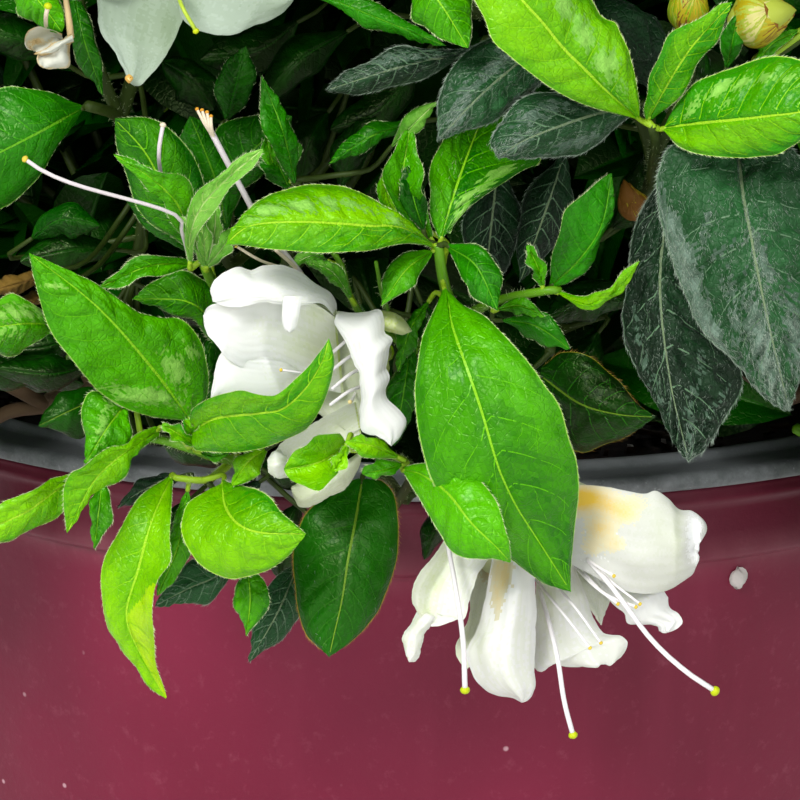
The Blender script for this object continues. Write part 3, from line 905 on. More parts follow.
leaf([(737, 140, 196), (744, 199, 206), (751, 235, 210), (757, 268, 212), (770, 330, 213), (783, 384, 211), (789, 409, 209)],
     [(744, 138), (790, 146), (818, 190), (832, 250), (828, 310), (812, 360), (800, 384), (789, 409)],
     [(728, 136), (690, 138), (668, 148), (660, 166), (656, 184), (658, 217), (665, 250), (675, 276), (686, 298), (701, 329), (719, 350), (737, 367), (757, 393), (778, 407), (789, 409)],
     (0, -9, -9, -3), (0, -7, -8, -3), "old", m=0.42, level=3.0, quilt=0.55, fuzz=6400, fine=2, cilia=260, veins=8, net=3, pucker=0.5,
     silver=((683, 262, 66, 10, 70, 0.85), (762, 345, 50, 10, 76, 0.8), (797, 340, 44, 9, 80, 0.6), (764, 262, 34, 6, 72, 0.5), (714, 335, 26, 8, 60, 0.6),
             (735, 318, 40, 6, 80, 0.35), (705, 230, 26, 5, 105, 0.3), (725, 250, 22, 4, 150, 0.3), (744, 384, 20, 6, 70, 0.4)))
leaf([(672, 176, 188), (660, 280, 197), (670, 380, 199), (689, 461, 197)],
     [(680, 180), (700, 240), (724, 320), (744, 372), (742, 395), (727, 418), (714, 439), (704, 451), (689, 461)],
     [(664, 174), (640, 212), (630, 242), (624, 268), (622, 306), (624, 337), (635, 370), (645, 390), (655, 408), (668, 433), (676, 447), (688, 461)],
     (0, -7, -6, -2), (0, -7, -6, -2), "old", m=0.46, level=0.0, quilt=0.55, fuzz=2100, fine=2, cilia=220, veins=8, net=3, pucker=0.5,
     silver=((638, 330, 32, 4, 78, 0.26), (655, 384, 32, 5, 66, 0.22), (700, 366, 30, 5, 100, 0.2), (690, 432, 26, 5, 90, 0.34), (718, 400, 28, 4, 122, 0.24)))
leaf([(540, 376, 160), (580, 404, 167), (620, 415, 169), (655, 417, 168)],
     [(542, 366), (560, 352), (590, 356), (617, 378), (634, 398), (655, 416)],
     [(538, 384), (546, 420), (566, 446), (584, 456), (604, 449), (630, 436), (655, 418)], -3, -6, "deep", m=0.42, level=0.9,
     quilt=0.18, fuzz=30, cilia=60, veins=7, net=3)
leaf([(500, 150, 166), (492, 220, 172), (484, 296, 170)], (24, 34, 22), (24, 30, 20), -4, -4, "old", m=0.5, level=0.5, fuzz=160, cilia=50, net=3)
leaf([(566, 150, 170), (546, 210, 176), (520, 282, 172)], (24, 32, 20), (24, 28, 18), -5, -5, "old", m=0.45, level=0.6, fuzz=200, cilia=50, net=3)
# the top of the frame
leaf([(402, -34, 204), (436, -2, 212), (468, 48, 212)], (28, 34, 20), (26, 34, 18), (-2, -4, 0), (-2, -4, 0), "fresh", m=0.5, level=2.2, quilt=0.4, cilia=90, veins=8, net=1)
leaf([(300, -14, 190), (372, 16, 196), (446, 46, 196)], (10, 15, 8), (9, 14, 8), -1, -2, "mid", m=0.5, level=3.2, quilt=0.2, cilia=60)
leaf([(0, -34, 196), (34, -4, 202), (62, 32, 202)], 22, 24, -2, -4, "fresh", m=0.5, level=2.4, cilia=60)
leaf([(72, -16, 178), (84, 40, 184), (103, 96, 183)], 13, 15, -1, -3, "mid", m=0.45, level=1.4, cilia=50)
leaf([(84, 108, 186), (40, 132, 196), (-46, 176, 200)],
     [(82, 112), (70, 134), (52, 160), (30, 188), (8, 210), (-20, 214), (-46, 180)],
     [(80, 104), (56, 92), (28, 88), (0, 88), (-30, 110), (-46, 172)], (0, -7, -5), (0, -4, -3), "mid",
     m=0.46, level=2.0, quilt=0.12, cilia=60, veins=8, net=2)
leaf([(204, 256, 178), (170, 200, 184), (146, 154, 187), (115, 119, 187)],
     [(206, 250), (212, 216), (204, 178), (188, 148), (168, 126), (146, 117), (115, 118)],
     [(200, 258), (172, 240), (148, 222), (131, 200), (122, 168), (114, 136), (115, 119)], (-1, -3, -1), (-1, -4, -2), "fresh", m=0.5, level=0.9, quilt=0.14, cilia=90, veins=8, net=1)
leaf([(206, 256, 168), (168, 232, 173), (124, 196, 173)], (9, 14, 8), (12, 18, 10), -2, -3, "mid", m=0.5, level=1.9, quilt=0.08, cilia=40)
leaf([(228, 232, 170), (214, 176, 177), (190, 116, 178)], (34, 46, 30), (24, 34, 22), -4, -5, "mid", m=0.5, level=2.3, quilt=0.1, cilia=60)
leaf([(222, 204, 172), (244, 160, 178), (292, 116, 178)], (34, 42, 26), (24, 30, 20), -4, -4, "mid", m=0.5, level=1.9, quilt=0.12, cilia=50)
leaf([(226, 122, 168), (236, 84, 174), (246, 46, 174)], 22, 20, -2, -2, "mid", m=0.45, level=0.9, quilt=0.1, cilia=20, plain=True)
leaf([(286, 176, 178), (292, 156, 184), (282, 128, 185)], (6, 8, 5), (6, 8, 5), 0, 1, "fresh", m=0.5, level=1.6, cilia=30, veins=5)
leaf([(284, 178, 180), (272, 160, 185), (266, 136, 186)], (5, 7, 4), (5, 7, 4), 1, 0, "fresh", m=0.5, level=2.0, cilia=30, veins=5)
leaf([(296, 186, 182), (284, 134, 190), (261, 75, 190)], (12, 17, 10), (10, 13, 8), (2, 3, 0), (-2, -3, 0), "mid", m=0.45, level=2.9, cilia=60)
leaf([(290, 190, 180), (276, 160, 184), (262, 140, 184)], (14, 16, 10), (14, 18, 10), (2, 3, 0), (-2, -3, 0), "mid", m=0.45, level=2.2, cilia=40)
leaf([(190, 264, 194), (190, 236, 200), (202, 206, 204), (228, 178, 206), (263, 149, 206)], (7, 9, 6), (7, 10, 6), 1, 2, "pale", m=0.5, level=2.6, quilt=0.06, cilia=100, fuzz=60, shine=((206, 196, 30, 3, -62, 0.5), (240, 164, 24, 3, -38, 0.5)))
leaf([(192, 244, 190), (178, 206, 198), (150, 178, 202), (113, 154, 202)],
     [(188, 244), (170, 222), (160, 202), (148, 190), (130, 174), (113, 154)],
     [(194, 240), (194, 200), (184, 180), (160, 172), (140, 166), (113, 154)], (0, -2, 0), (1, 2, 0), "fresh", m=0.5, level=3.0, quilt=0.15, cilia=80)
for tip, w in (((194, 200, 200), 5), ((216, 204, 198), 5), ((234, 226, 199), 6), ((180, 216, 197), 4)):
    leaf([(206, 268, 192), ((206 + tip[0]) / 2 + 3, (268 + tip[1]) / 2, tip[2]), tip], w, w, 1, 1, "pale", m=0.45, level=1.8, quilt=0, cilia=70, veins=5, fuzz=30)
leaf([(199, 264, 182), (150, 266, 188), (100, 287, 188)], (7, 9, 5), (7, 9, 5), 2, 1, "fresh", m=0.5, level=2.0, cilia=110, quilt=0.1, veins=7)
leaf([(218, 326, 176), (188, 302, 183), (132, 299, 183)],
     [(214, 344), (206, 336), (190, 320), (160, 312), (132, 299)],
     [(222, 300), (206, 280), (190, 271), (170, 272), (150, 282), (132, 299)], -2, -2, "fresh", m=0.45, level=1.5, quilt=0.08, cilia=60, veins=7)
leaf([(64, 326, 184), (24, 324, 192), (-30, 332, 194)], (18, 34, 26), (14, 28, 20), (-1, -6, -4), (0, 3, 1), "fresh", m=0.5, level=2.2, cilia=60, fuzz=60, right_shade=1.0, shine=((18, 312, 30, 8, -4, 0.6), (0, 334, 20, 8, 0, 0.3)))
leaf([(52, 272, 174), (24, 282, 178), (-14, 292, 178)], 12, 12, -2, -3, "dry", m=0.5, level=2.8, cilia=0)
leaf([(62, 286, 170), (36, 300, 174), (6, 302, 174)], 8, 9, -2, -3, "dry", m=0.5, level=1.8, cilia=0)
leaf([(418, 122, 182), (372, 136, 188), (328, 164, 187)], (10, 12, 8), (12, 15, 8), -2, -2, "mid", m=0.5, level=2.0, cilia=50)
leaf([(412, 336, 176), (404, 390, 182), (394, 446, 181)], (16, 20, 12), (14, 18, 10), -2, -2, "mid", m=0.5, level=1.8, cilia=40)
leaf([(430, 300, 178), (410, 330, 184), (398, 372, 184)], (10, 13, 8), (10, 12, 8), -2, -2, "fresh", m=0.5, level=1.4, cilia=40)
leaf([(214, 330, 168), (206, 370, 172), (206, 410, 172)], 10, 10, -2, -2, "mid", m=0.5, level=2.0, cilia=30)
leaf([(330, 262, 182), (312, 256, 186), (290, 266, 186)], 8, 8, -1, -1, "pale", m=0.5, level=0.6, cilia=80, fuzz=60)
leaf([(352, 300, 180), (332, 272, 185), (306, 262, 186)], 9, 10, -2, -1, "pale", m=0.5, level=0.2, cilia=90, fuzz=60)
# deeper, darker leaves behind
for mid, w, k, lv in (
    ([(60, 60, 160), (20, 40, 165), (-30, 30, 165)], 22, "deep", 1.2),
    ([(30, 240, 158), (60, 220, 164), (100, 226, 164)], 18, "mid", 0.2),
    ([(120, 250, 156), (70, 250, 160), (20, 262, 160)], 20, "deep", 1.4),
    ([(0, 380, 150), (40, 372, 156), (84, 384, 156)], 20, "old", 0.0),
    ([(90, 330, 150), (50, 346, 154), (10, 350, 154)], 20, "deep", 0.6),
    ([(104, 358, 154), (56, 374, 160), (-6, 368, 160)], 18, "deep", 0.3),
    ([(60, 352, 152), (20, 372, 158), (-30, 364, 158)], 20, "deep", 0.4),
    ([(350, 30, 160), (300, 60, 168), (262, 100, 168)], 22, "deep", 0.4),
    ([(340, 190, 150), (350, 150, 156), (378, 118, 156)], 20, "deep", 1.4),
    ([(160, 60, 150), (190, 80, 156), (214, 110, 156)], 22, "deep", 0.6),
    ([(300, 20, 150), (260, 50, 154), (200, 60, 154)], 24, "deep", 0.2),
    ([(330, 110, 146), (310, 140, 152), (300, 180, 152)], 20, "deep", 0.4),
    ([(420, 60, 150), (380, 110, 154), (330, 130, 154)], 22, "deep", 0.3),
    ([(640, 300, 150), (590, 300, 156), (545, 320, 156)], 22, "old", 0.0),
    ([(600, 330, 140), (580, 360, 146), (540, 380, 146)], 24, "deep", 0.0),
    ([(470, 480, 150), (440, 520, 154), (424, 560, 154)], 14, "deep", 0.2),
    ([(620, 0, 180), (640, 40, 186), (660, 90, 186)], 30, "old", 0.8),
    ([(560, 6, 182), (610, 20, 190), (650, 60, 190)], 28, "old", 0.9),
    ([(800, 60, 180), (776, 100, 186), (752, 150, 186)], 26, "old", 0.8),
    ([(700, 40, 176), (690, 80, 182), (670, 120, 182)], 26, "old", 0.4),
    ([(610, 230, 150), (640, 200, 156), (660, 150, 156)], 26, "old", 0.1),
    ([(262, 480, 160), (240, 500, 164), (210, 540, 164)], 18, "old", 0.8),
    ([(190, 500, 158), (170, 520, 162), (140, 560, 162)], 14, "old", 0.2),
    ([(300, 500, 150), (284, 540, 154), (280, 580, 154)], 20, "deep", 0.2),
    ([(130, 350, 150), (170, 340, 156), (206, 350, 156)], 18, "deep", 0.6),
    ([(360, 300, 150), (372, 350, 154), (372, 410, 154)], 24, "deep", 0.3),
    ([(420, 300, 156), (440, 350, 160), (440, 420, 160)], 24, "deep", 0.2),
    ([(150, 290, 150), (190, 310, 154), (240, 300, 154)], 20, "deep", 1.0),
    ([(160, 440, 158), (190, 450, 162), (240, 440, 162)], 20, "deep", 0.4),
    ([(250, 470, 156), (290, 470, 160), (340, 480, 160)], 20, "deep", 0.2),
):
    leaf(mid, w, w * 1.1, -3, -4, "deep" if k == "old" and lv < 0.5 else k, level=lv * 0.6, fuzz=60 if k == "old" else 0, cilia=0, veins=6, plain=True, quilt=0.12, pucker=0.08)

# ---- flowers in the frame ----
def tube_of_flower(mouth, back, r_mouth, slot=P_CREAM):
    """The short tube behind the petals, its green calyx, and the stalk's end."""
    a, b = at(*mouth), at(*back)
    s = np.linspace(0, 1, 8)[:, None]
    petals.tube(b + (a - b) * s, 1.6 + (r_mouth - 1.6) * s[:, 0] ** 1.6, 14, slot, blunt=0.1)
    petals.tube(b - unit(a - b) * (1 - s) * 2.4, 1.2 + 0.8 * s[:, 0], 10, P_BUD)
    return b


# the one in the middle: its throat, the petals round it, and the lip that hangs below
sheet([(336, 310), (318, 302), (300, 316), (282, 346), (290, 384), (316, 412), (345, 430)],
      [(342, 314), (354, 330), (362, 356), (368, 384), (368, 408), (362, 426), (352, 434)],
      (190, 190, 189, 189), (188, 184, 183, 187), (189, 188, 188, 189), level=2.3, ruffle=0.25)
for q in ((358, 334, 334, 352), (360, 352, 334, 369), (362, 368, 336, 386), (362, 386, 334, 402)):
    filament([(q[0], q[1], 187), ((q[0] + q[2]) / 2, (q[1] + q[3]) / 2 - 2, 191), (q[2] - 4, q[3] + 3, 193)], 0.36, 0.3, P_STYLE)
sheet([(336, 318), (322, 308), (306, 300), (286, 295), (262, 294), (238, 297), (216, 303), (207, 307), (203, 316)],
      [(344, 394), (320, 388), (300, 380), (282, 371), (264, 366), (250, 368), (240, 367), (227, 359), (218, 347), (210, 338), (205, 328), (203, 316)],
      (192, 199, 201, 201, 200), (186, 193, 198, 200, 200), (186, 191, 197, 200, 200), level=4.3, ruffle=0.3, cols=44,
      dark=((330, 352, 38, 36, 2.2), (262, 326, 16, 18, 0.9), (314, 312, 14, 10, 1.6), (292, 344, 24, 18, 1.0), (244, 362, 14, 5, 0.5)),
      dents=((0.55, -0.3, 0.09, 0.3, -0.9), (0.45, -0.05, 0.06, 0.2, -0.6)))
sheet([(334, 315), (322, 304), (310, 304), (298, 306), (280, 304), (262, 303), (244, 306), (228, 306), (214, 302)],
      [(337, 312), (336, 302), (330, 292), (318, 285), (302, 273), (286, 267), (262, 265), (252, 269), (248, 268), (240, 266), (228, 270), (217, 278), (211, 288), (211, 296), (214, 302)],
      (195, 201, 203, 203, 202), (190, 199, 203, 203, 202), (187, 192, 197, 200, 201), level=4.1, ruffle=0.4)
sheet([(283, 296), (282, 310), (282, 322), (285, 330), (290, 333)], [(302, 296), (300, 307), (298, 320), (295, 329), (290, 333)],
      (203, 204, 204), (203.5, 205, 204.5), (203, 204, 204), level=4.1, ruffle=0.05, rows=24, cols=16, nick=0.1)
sheet([(318, 392), (292, 404), (262, 408), (232, 408), (210, 404)], [(316, 366), (290, 360), (258, 356), (236, 352), (224, 350), (216, 364), (211, 384), (210, 404)],
      (188, 196, 198, 198), (188, 197, 199, 198), (188, 197, 198, 198), level=4.0, ruffle=0.4, dark=((228, 360, 14, 6, 0.8), (300, 380, 20, 14, 0.8)))
sheet([(337, 313), (334, 322), (338, 330), (344, 339), (348, 346), (351, 356), (354, 364), (359, 372), (360, 386), (361, 402), (360, 418), (361, 430), (367, 434), (378, 437), (391, 446)],
      [(338, 311), (352, 313), (366, 312), (380, 310), (385, 322), (384, 332), (392, 339), (389, 348), (387, 357), (385, 367), (388, 374), (389, 381), (386, 390), (388, 398), (395, 406), (402, 412), (407, 421), (404, 431), (398, 439), (391, 446)],
      (193, 196, 198, 199), (192, 197, 199, 199), (190, 193, 196, 198), level=4.3, ruffle=0.22, nick=1.0, dark=((360, 346, 9, 7, 1.2), (384, 362, 5, 6, 0.7), (384, 322, 10, 10, 0.9)))
sheet([(374, 330), (384, 331), (394, 333), (403, 336), (412, 331)], [(374, 311), (386, 311), (396, 314), (405, 320), (412, 331)],
      (190, 191, 189), (191, 194, 190), (188, 189, 188), level=0.4, ruffle=0.15, rows=24, cols=16, nick=0.3)
sheet([(356, 402), (345, 406), (330, 414), (312, 424), (294, 436), (282, 444), (272, 456), (270, 467)],
      [(362, 438), (350, 448), (330, 458), (304, 474), (290, 476), (279, 478), (272, 475), (270, 467)],
      (190, 193, 195), (188, 189, 191), (190, 192, 196), level=2.9, ruffle=0.4, dark=((340, 428, 20, 12, 0.7),))
sheet([(272, 452), (268, 460), (268, 470), (274, 478)], [(280, 449), (288, 458), (290, 468), (286, 477)], (196, 199, 197), (197, 201, 198), (194, 196, 194), level=3.2, ruffle=0.2, rows=20, cols=16)
sheet([(362, 450), (345, 462), (325, 474), (305, 480), (292, 486)], [(361, 462), (357, 472), (348, 486), (334, 496), (314, 505), (299, 507), (292, 498), (291, 488)],
      (186, 190, 192), (187, 193, 193), (184, 189, 191), level=1.8, ruffle=0.25)
centre_1 = tube_of_flower((352, 366, 176), (384, 352, 152), 7.0, P_THROAT)
filament([(334, 382, 184), (306, 374, 198), (281, 370, 201)], 0.24, 0.22, P_STYLE, P_ANTHER, 0.34)
filament([(356, 392, 184), (352, 400, 190), (350, 402, 192)], 0.3, 0.3, P_STYLE, P_STRAW, 0.4)
# the two that hang below the long leaf
sheet([(478, 556), (472, 590), (468, 618), (459, 640), (457, 652), (460, 662), (467, 669)], [(504, 556), (499, 590), (491, 620), (483, 645), (475, 662), (467, 669)],
      (178, 182, 185), (174, 180, 185), (178, 184, 186), level=2.6, ruffle=0.3, stain=((494, 566, 12, 12, 0.5),))
sheet([(452, 520), (442, 544), (434, 555), (427, 565), (419, 576), (414, 585), (411, 597), (413, 606), (418, 613), (424, 620), (431, 625)],
      [(505, 536), (487, 562), (476, 577), (470, 595), (467, 614), (462, 622), (456, 620), (445, 622), (431, 625)],
      (181, 187, 190, 188), (180, 185, 188, 188), (184, 192, 191, 189), level=3.4, ruffle=0.5, shade=0.5,
      dark=((446, 556, 7, 12, 1.2), (436, 584, 8, 16, 1.1), (427, 612, 8, 10, 1.3)), dents=((0.5, -0.35, 0.3, 0.25, -2.0),))
sheet([(418, 610), (410, 625), (402, 639), (404, 650), (409, 661)], [(440, 618), (431, 626), (424, 635), (421, 652), (416, 660), (409, 662)],
      (186, 189, 189), (188, 191, 190), (187, 189, 189), level=3.5, ruffle=0.3, rows=36, cols=20, dark=((416, 622, 6, 9, 1.1), (404, 642, 3, 8, 0.8)), stain=((403, 658, 4, 4, 0.3),))
sheet([(496, 530), (490, 570), (484, 600), (477, 630), (468, 650), (469, 660), (471, 668), (474, 676), (479, 684), (487, 692), (497, 696), (511, 697), (522, 702)],
      [(534, 530), (536, 582), (536, 605), (535, 625), (534, 650), (535, 670), (536, 682), (534, 692), (529, 700), (522, 702)],
      (190, 191, 190, 190), (194, 199, 197, 193), (191, 193, 193, 191), level=4.0, ruffle=0.4, crease=-0.4, dents=((0.5, 0.25, 0.4, 0.25, 1.2),),
      stain=((503, 572, 8, 16, 0.6), (497, 596, 5, 16, 0.3)), dark=((480, 640, 8, 26, 0.9), (512, 680, 22, 8, 0.3), (520, 620, 5, 40, 0.5)))
sheet([(530, 540), (536, 582), (535, 620), (534, 650), (535, 667), (541, 670), (548, 665), (556, 660), (561, 666), (575, 669), (590, 666), (602, 660)],
      [(566, 540), (580, 580), (592, 612), (600, 628), (608, 635), (622, 637), (628, 643), (626, 652), (621, 660), (614, 664), (608, 662), (602, 660)],
      (178, 184, 187, 187), (179, 187, 190, 188), (180, 186, 188, 188), level=3.7, ruffle=0.6, dark=((546, 598, 11, 28, 1.7), (576, 590, 10, 18, 0.7), (560, 640, 6, 16, 0.4)),
      dents=((0.6, 0.0, 0.14, 0.4, -1.0),))
centre_2 = tube_of_flower((506, 548, 178), (500, 500, 156), 6.0)
sheet([(560, 545), (572, 575), (584, 598), (594, 614), (601, 625)], [(604, 545), (612, 575), (610, 597), (606, 612), (601, 625)], (180, 185, 187), (179, 184, 187), (184, 188, 188), level=2.9, ruffle=0.3)
sheet([(566, 486), (590, 485), (607, 487), (632, 492), (645, 494), (657, 491), (670, 499), (680, 509), (692, 511), (702, 520), (705, 529), (699, 542)],
      [(566, 562), (590, 574), (612, 586), (640, 593), (662, 592), (673, 589), (685, 582), (694, 574), (696, 564), (692, 557), (699, 542)],
      (197, 197, 196, 194), (193, 198, 201, 197), (195, 197, 197, 195), level=3.15, ruffle=0.5, rows=90, cols=72, dim=P_SOFT, nick=0.4,
      stain=((582, 499, 14, 11, 0.95), (598, 496, 16, 8, 0.6), (606, 508, 16, 8, 0.5), (624, 516, 12, 8, 0.34), (600, 526, 13, 9, 0.4), (592, 542, 9, 10, 0.3), (612, 544, 12, 8, 0.24), (632, 504, 14, 8, 0.22)),
      dark=((678, 538, 5, 26, 0.9), (660, 528, 9, 22, 0.5), (640, 506, 8, 12, 0.4), (668, 592, 10, 5, 0.5), (694, 536, 9, 30, -1.5)),
      dents=((0.8, 0.1, 0.05, 0.8, -2.2), (0.45, 0.3, 0.12, 0.3, 1.0)))
sheet([(580, 556), (594, 580), (612, 602), (622, 615), (627, 625), (640, 625), (657, 625), (659, 631), (667, 632)],
      [(618, 560), (650, 580), (669, 595), (671, 607), (680, 620), (676, 627), (667, 632)],
      (184, 190, 191), (184, 193, 192), (186, 191, 191), level=4.0, ruffle=0.7, dark=((632, 600, 12, 6, 0.6),), dents=((0.8, 0.2, 0.1, 0.3, -1.2),))
centre_3 = tube_of_flower((568, 512, 188), (546, 470, 160), 6.0)
filament([(447, 540, 186), (456, 590, 197), (463, 640, 200), (465, 690, 199)], 0.42, 0.5, P_STYLE, P_STIGMA, 0.9)
filament([(540, 590, 184), (556, 650, 197), (564, 700, 199), (573, 735, 199)], 0.4, 0.46, P_STYLE, P_STIGMA, 0.85)
filament([(566, 536, 186), (610, 585, 202), (650, 638, 205), (684, 670, 206), (715, 691, 205)], 0.4, 0.5, P_STYLE, P_STIGMA, 0.95)
for q in (((536, 580), (562, 612), (590, 648)), ((546, 574), (574, 606), (601, 643)), ((568, 548), (600, 590), (636, 607)), ((576, 540), (608, 578), (640, 604)), ((572, 546), (594, 564), (614, 576)), ((570, 560), (592, 584), (618, 604))):
    filament([(*q[0], 184), (*q[1], 199), (*q[2], 203)], 0.28, 0.24, P_STYLE, P_ANTHER, 0.38)
# the one cut by the top of the frame
sheet([(160, -40), (126, -34), (100, -10), (97, 10), (101, 33), (114, 51), (124, 66), (129, 79)],
      [(178, -40), (182, -10), (183, 14), (176, 38), (166, 56), (150, 76), (138, 84), (129, 80)],
      (198, 204, 207, 207), (196, 200, 206, 208), (198, 206, 207, 207), rows=80, cols=48, level=2.0, ruffle=0.5, shade=-0.3, dim=P_DIM,
      dark=((168, 30, 12, 26, 0.7), (142, 30, 12, 40, 0.5), (108, 16, 8, 30, 0.3)))
sheet([(176, -44), (178, -6), (182, 18), (196, 30), (217, 35), (236, 34), (256, 26), (275, 18), (288, 8), (299, -6)],
      [(186, -48), (210, -60), (240, -62), (270, -50), (292, -30), (299, -6)],
      (200, 207, 208, 208), (198, 203, 210, 210), (198, 206, 210, 210), rows=80, cols=48, level=2.0, ruffle=0.4, dim=P_DIM, dark=((190, 4, 12, 22, 0.8), (268, 4, 10, 12, 0.2)))
petal([(160, -44, 196), (112, -26, 206), (62, -8, 206)], 20, 24, -2, -3, level=2.1, ruffle=0.8, dim=P_DIM)
petal([(176, -54, 196), (190, -100, 206), (196, -150, 204)], 42, 42, -3, -3, level=3.6, ruffle=1.0)
centre_4 = tube_of_flower((174, -44, 196), (190, -74, 164), 7)
filament([(170, -30, 198), (181, 4, 213), (196, 31, 214)], 0.3, 0.36, P_LIMESTYLE, P_STIGMA, 0.58)
bud([(129, 75, 209), (129, 83, 209)], 0.7, (P_STRAW, P_TAN, P_BUDBROWN), 2)
# a withered one beside it, and the old pistils it and its neighbours left
sheet([(62, 34), (50, 29), (38, 27), (28, 31), (24, 39), (27, 47), (34, 51)], [(64, 43), (57, 46), (50, 50), (44, 52), (39, 53), (34, 51)],
      (203, 205, 206, 205), (200, 200, 201, 202), (204, 206, 206, 205), level=4.4, ruffle=0.15, rows=44, cols=30, wither=0.35, nick=0.3,
      dark=((38, 41, 8, 4, 2.4), (52, 42, 5, 4, 1.4)))
sheet([(66, 36), (56, 44), (46, 50), (38, 53), (35, 59), (38, 64), (46, 67)], [(73, 36), (71, 47), (69, 57), (69, 66), (63, 70), (54, 70), (46, 67)],
      (200, 203, 204, 205), (201, 206, 207, 206), (200, 203, 204, 205), level=5.4, ruffle=0.2, rows=44, cols=30, wither=0.3, nick=0.3,
      dark=((64, 44, 9, 6, 1.6), (42, 56, 3, 5, 1.2), (58, 55, 3, 9, 0.6)))
sheet([(72, 34), (62, 39), (54, 44), (46, 48), (38, 51), (34, 54)], [(74, 42), (66, 46), (58, 50), (50, 54), (42, 56), (34, 54)],
      (203, 205, 206, 205), (205, 207, 208, 206), (202, 204, 206, 205), level=3.8, ruffle=0.1, rows=40, cols=20, wither=0.2, nick=0.2)
filament([(64, -20, 190), (66, 0, 198), (69, 20, 201), (71, 38, 202)], 0.42, 0.62, P_OLD + 2)
filament([(46, 26, 202), (46, 16, 207), (48, 6, 208)], 0.36, 0.4, P_OLDSTYLE, P_STIGMA, 0.7)
filament([(190, 262, 190), (182, 234, 200), (172, 213, 206), (80, 186, 212), (45, 172, 212), (25, 159, 212)], 0.3, 0.37, P_LILAC, P_ANTHER, 0.62)
filament([(190, 250, 186), (172, 210, 192), (161, 174, 198), (159, 150, 203), (163, 125, 203)], 0.32, 0.38, P_LILAC, P_OLDSTYLE, 0.58)
filament([(300, 272, 186), (262, 224, 196), (238, 182, 201), (202, 114, 204)], 0.52, 0.54, P_LILAC)
for tip in ((197, 109), (202, 110), (207, 112), (211, 116)):
    filament([(214, 138, 203), ((214 + tip[0]) / 2 - 1, (138 + tip[1]) / 2, 205), (*tip, 205)], 0.3, 0.26, P_OLDSTYLE, P_ORANGE, 0.36)
filament([(300, 272, 184), (264, 262, 194), (236, 246, 198)], 0.3, 0.26, P_OLDSTYLE, P_ANTHER, 0.36)
filament([(302, 274, 184), (290, 262, 190), (276, 250, 194)], 0.4, 0.36, P_OLDSTYLE)
# buds
bud([(688, 32, 198), (689, 4, 202), (692, -30, 202)], 3.4, (P_BUDPALE, P_BUD, P_BUDSTRAW, P_BUDBROWN))
bud([(734, 28, 200), (764, 16, 205), (796, 10, 204)], 4.7, (P_BUDCREAM, P_BUDPALE, P_BUDSTRAW, P_BUDBROWN), 9)
bud([(758, 66, 194), (764, 56, 200), (764, 44, 200)], 1.6, (P_BUDPALE, P_BUDPALE, P_BUD), 5)
bud([(642, 214, 166), (630, 200, 172), (624, 180, 172)], 2.8, (P_BUDSTRAW, P_BUDBROWN, P_BUDBROWN), 6)

# a shaded leaf that reaches over the lip at the left
leaf([(104, 396, 164), (72, 410, 169), (38, 426, 169)],
     [(102, 404), (98, 424), (84, 440), (66, 436), (50, 431), (38, 426)],
     [(100, 388), (84, 386), (60, 392), (46, 406), (38, 426)], -2, -2, "deep", m=0.5, level=1.8, cilia=0, veins=6, quilt=0.12)

# an old leaf in the shade behind the low left cluster
leaf([(184, 476, 176), (162, 482, 177), (140, 492, 176), (117, 508, 173)], (13, 17, 9), (10, 13, 8), -1, -2, "old", m=0.45, level=0.6, fuzz=140, cilia=50, net=2)
rng = np.random.default_rng(4127)
# ---------------------------------------------------------------------------------------------
# limbs
# ---------------------------------------------------------------------------------------------
bark = Batch()


def mulberry(seed):
    """The CAD's seeded numbers, so that the boughs run where its boughs run."""
    a = seed & 0xFFFFFFFF

    def imul(x, y):
        return (x * y) & 0xFFFFFFFF

    def draw():
        nonlocal a
        a = (a + 0x6D2B79F5) & 0xFFFFFFFF
        t = imul(a ^ (a >> 15), 1 | a)
        t = ((t + imul(t ^ (t >> 7), 61 | t)) & 0xFFFFFFFF) ^ t
        return ((t ^ (t >> 14)) & 0xFFFFFFFF) / 4294967296

    return draw


masses = []
for ri, (name, count, r, z, half, first, br, btip, from_z, lift) in enumerate(RINGS):
    for i in range(count):
        b = math.radians(first + 360 * i / count)
        shift = SHIFT[i % 7] if count > 1 else 0
        droop = DROOP[i] if name == "skirt" else shift * 0.8
        out = np.array([math.cos(b), math.sin(b), 0.0])
        side = np.array([-out[1], out[0], 0.0])
        centre = out * (r + shift) + np.array([0, 0, z - droop])
        sway = (mulberry(101 + 17 * ri + 7 * i + 5)() - 0.5) * 16
        start = np.array([1.4, -1.0, from_z]) + out * 5
        span = centre - start
        path = [start, start + span * 0.3 + side * sway * 0.6, start + span * 0.68 + side * sway, centre]
        path[1] = path[1] + [0, 0, lift * 0.8]
        path[2] = path[2] + [0, 0, lift]
        tag = f"{name}_{i + 1}" if count > 1 else name
        masses.append(dict(tag=tag, name=name, centre=centre, half=np.array(half, float), out=out, side=side,
                           path=smooth_path(path, 25), r=br, tip=btip))


def knotty(path, r0, r1, power=0.8, bumps=0.06):
    n = len(path)
    s = np.linspace(0, 1, n)
    r = r0 + (r1 - r0) * s**power
    return r * (1 + bumps * np.sin(s * 31 + r0 * 7) + bumps * (rng.random(n) - 0.5))


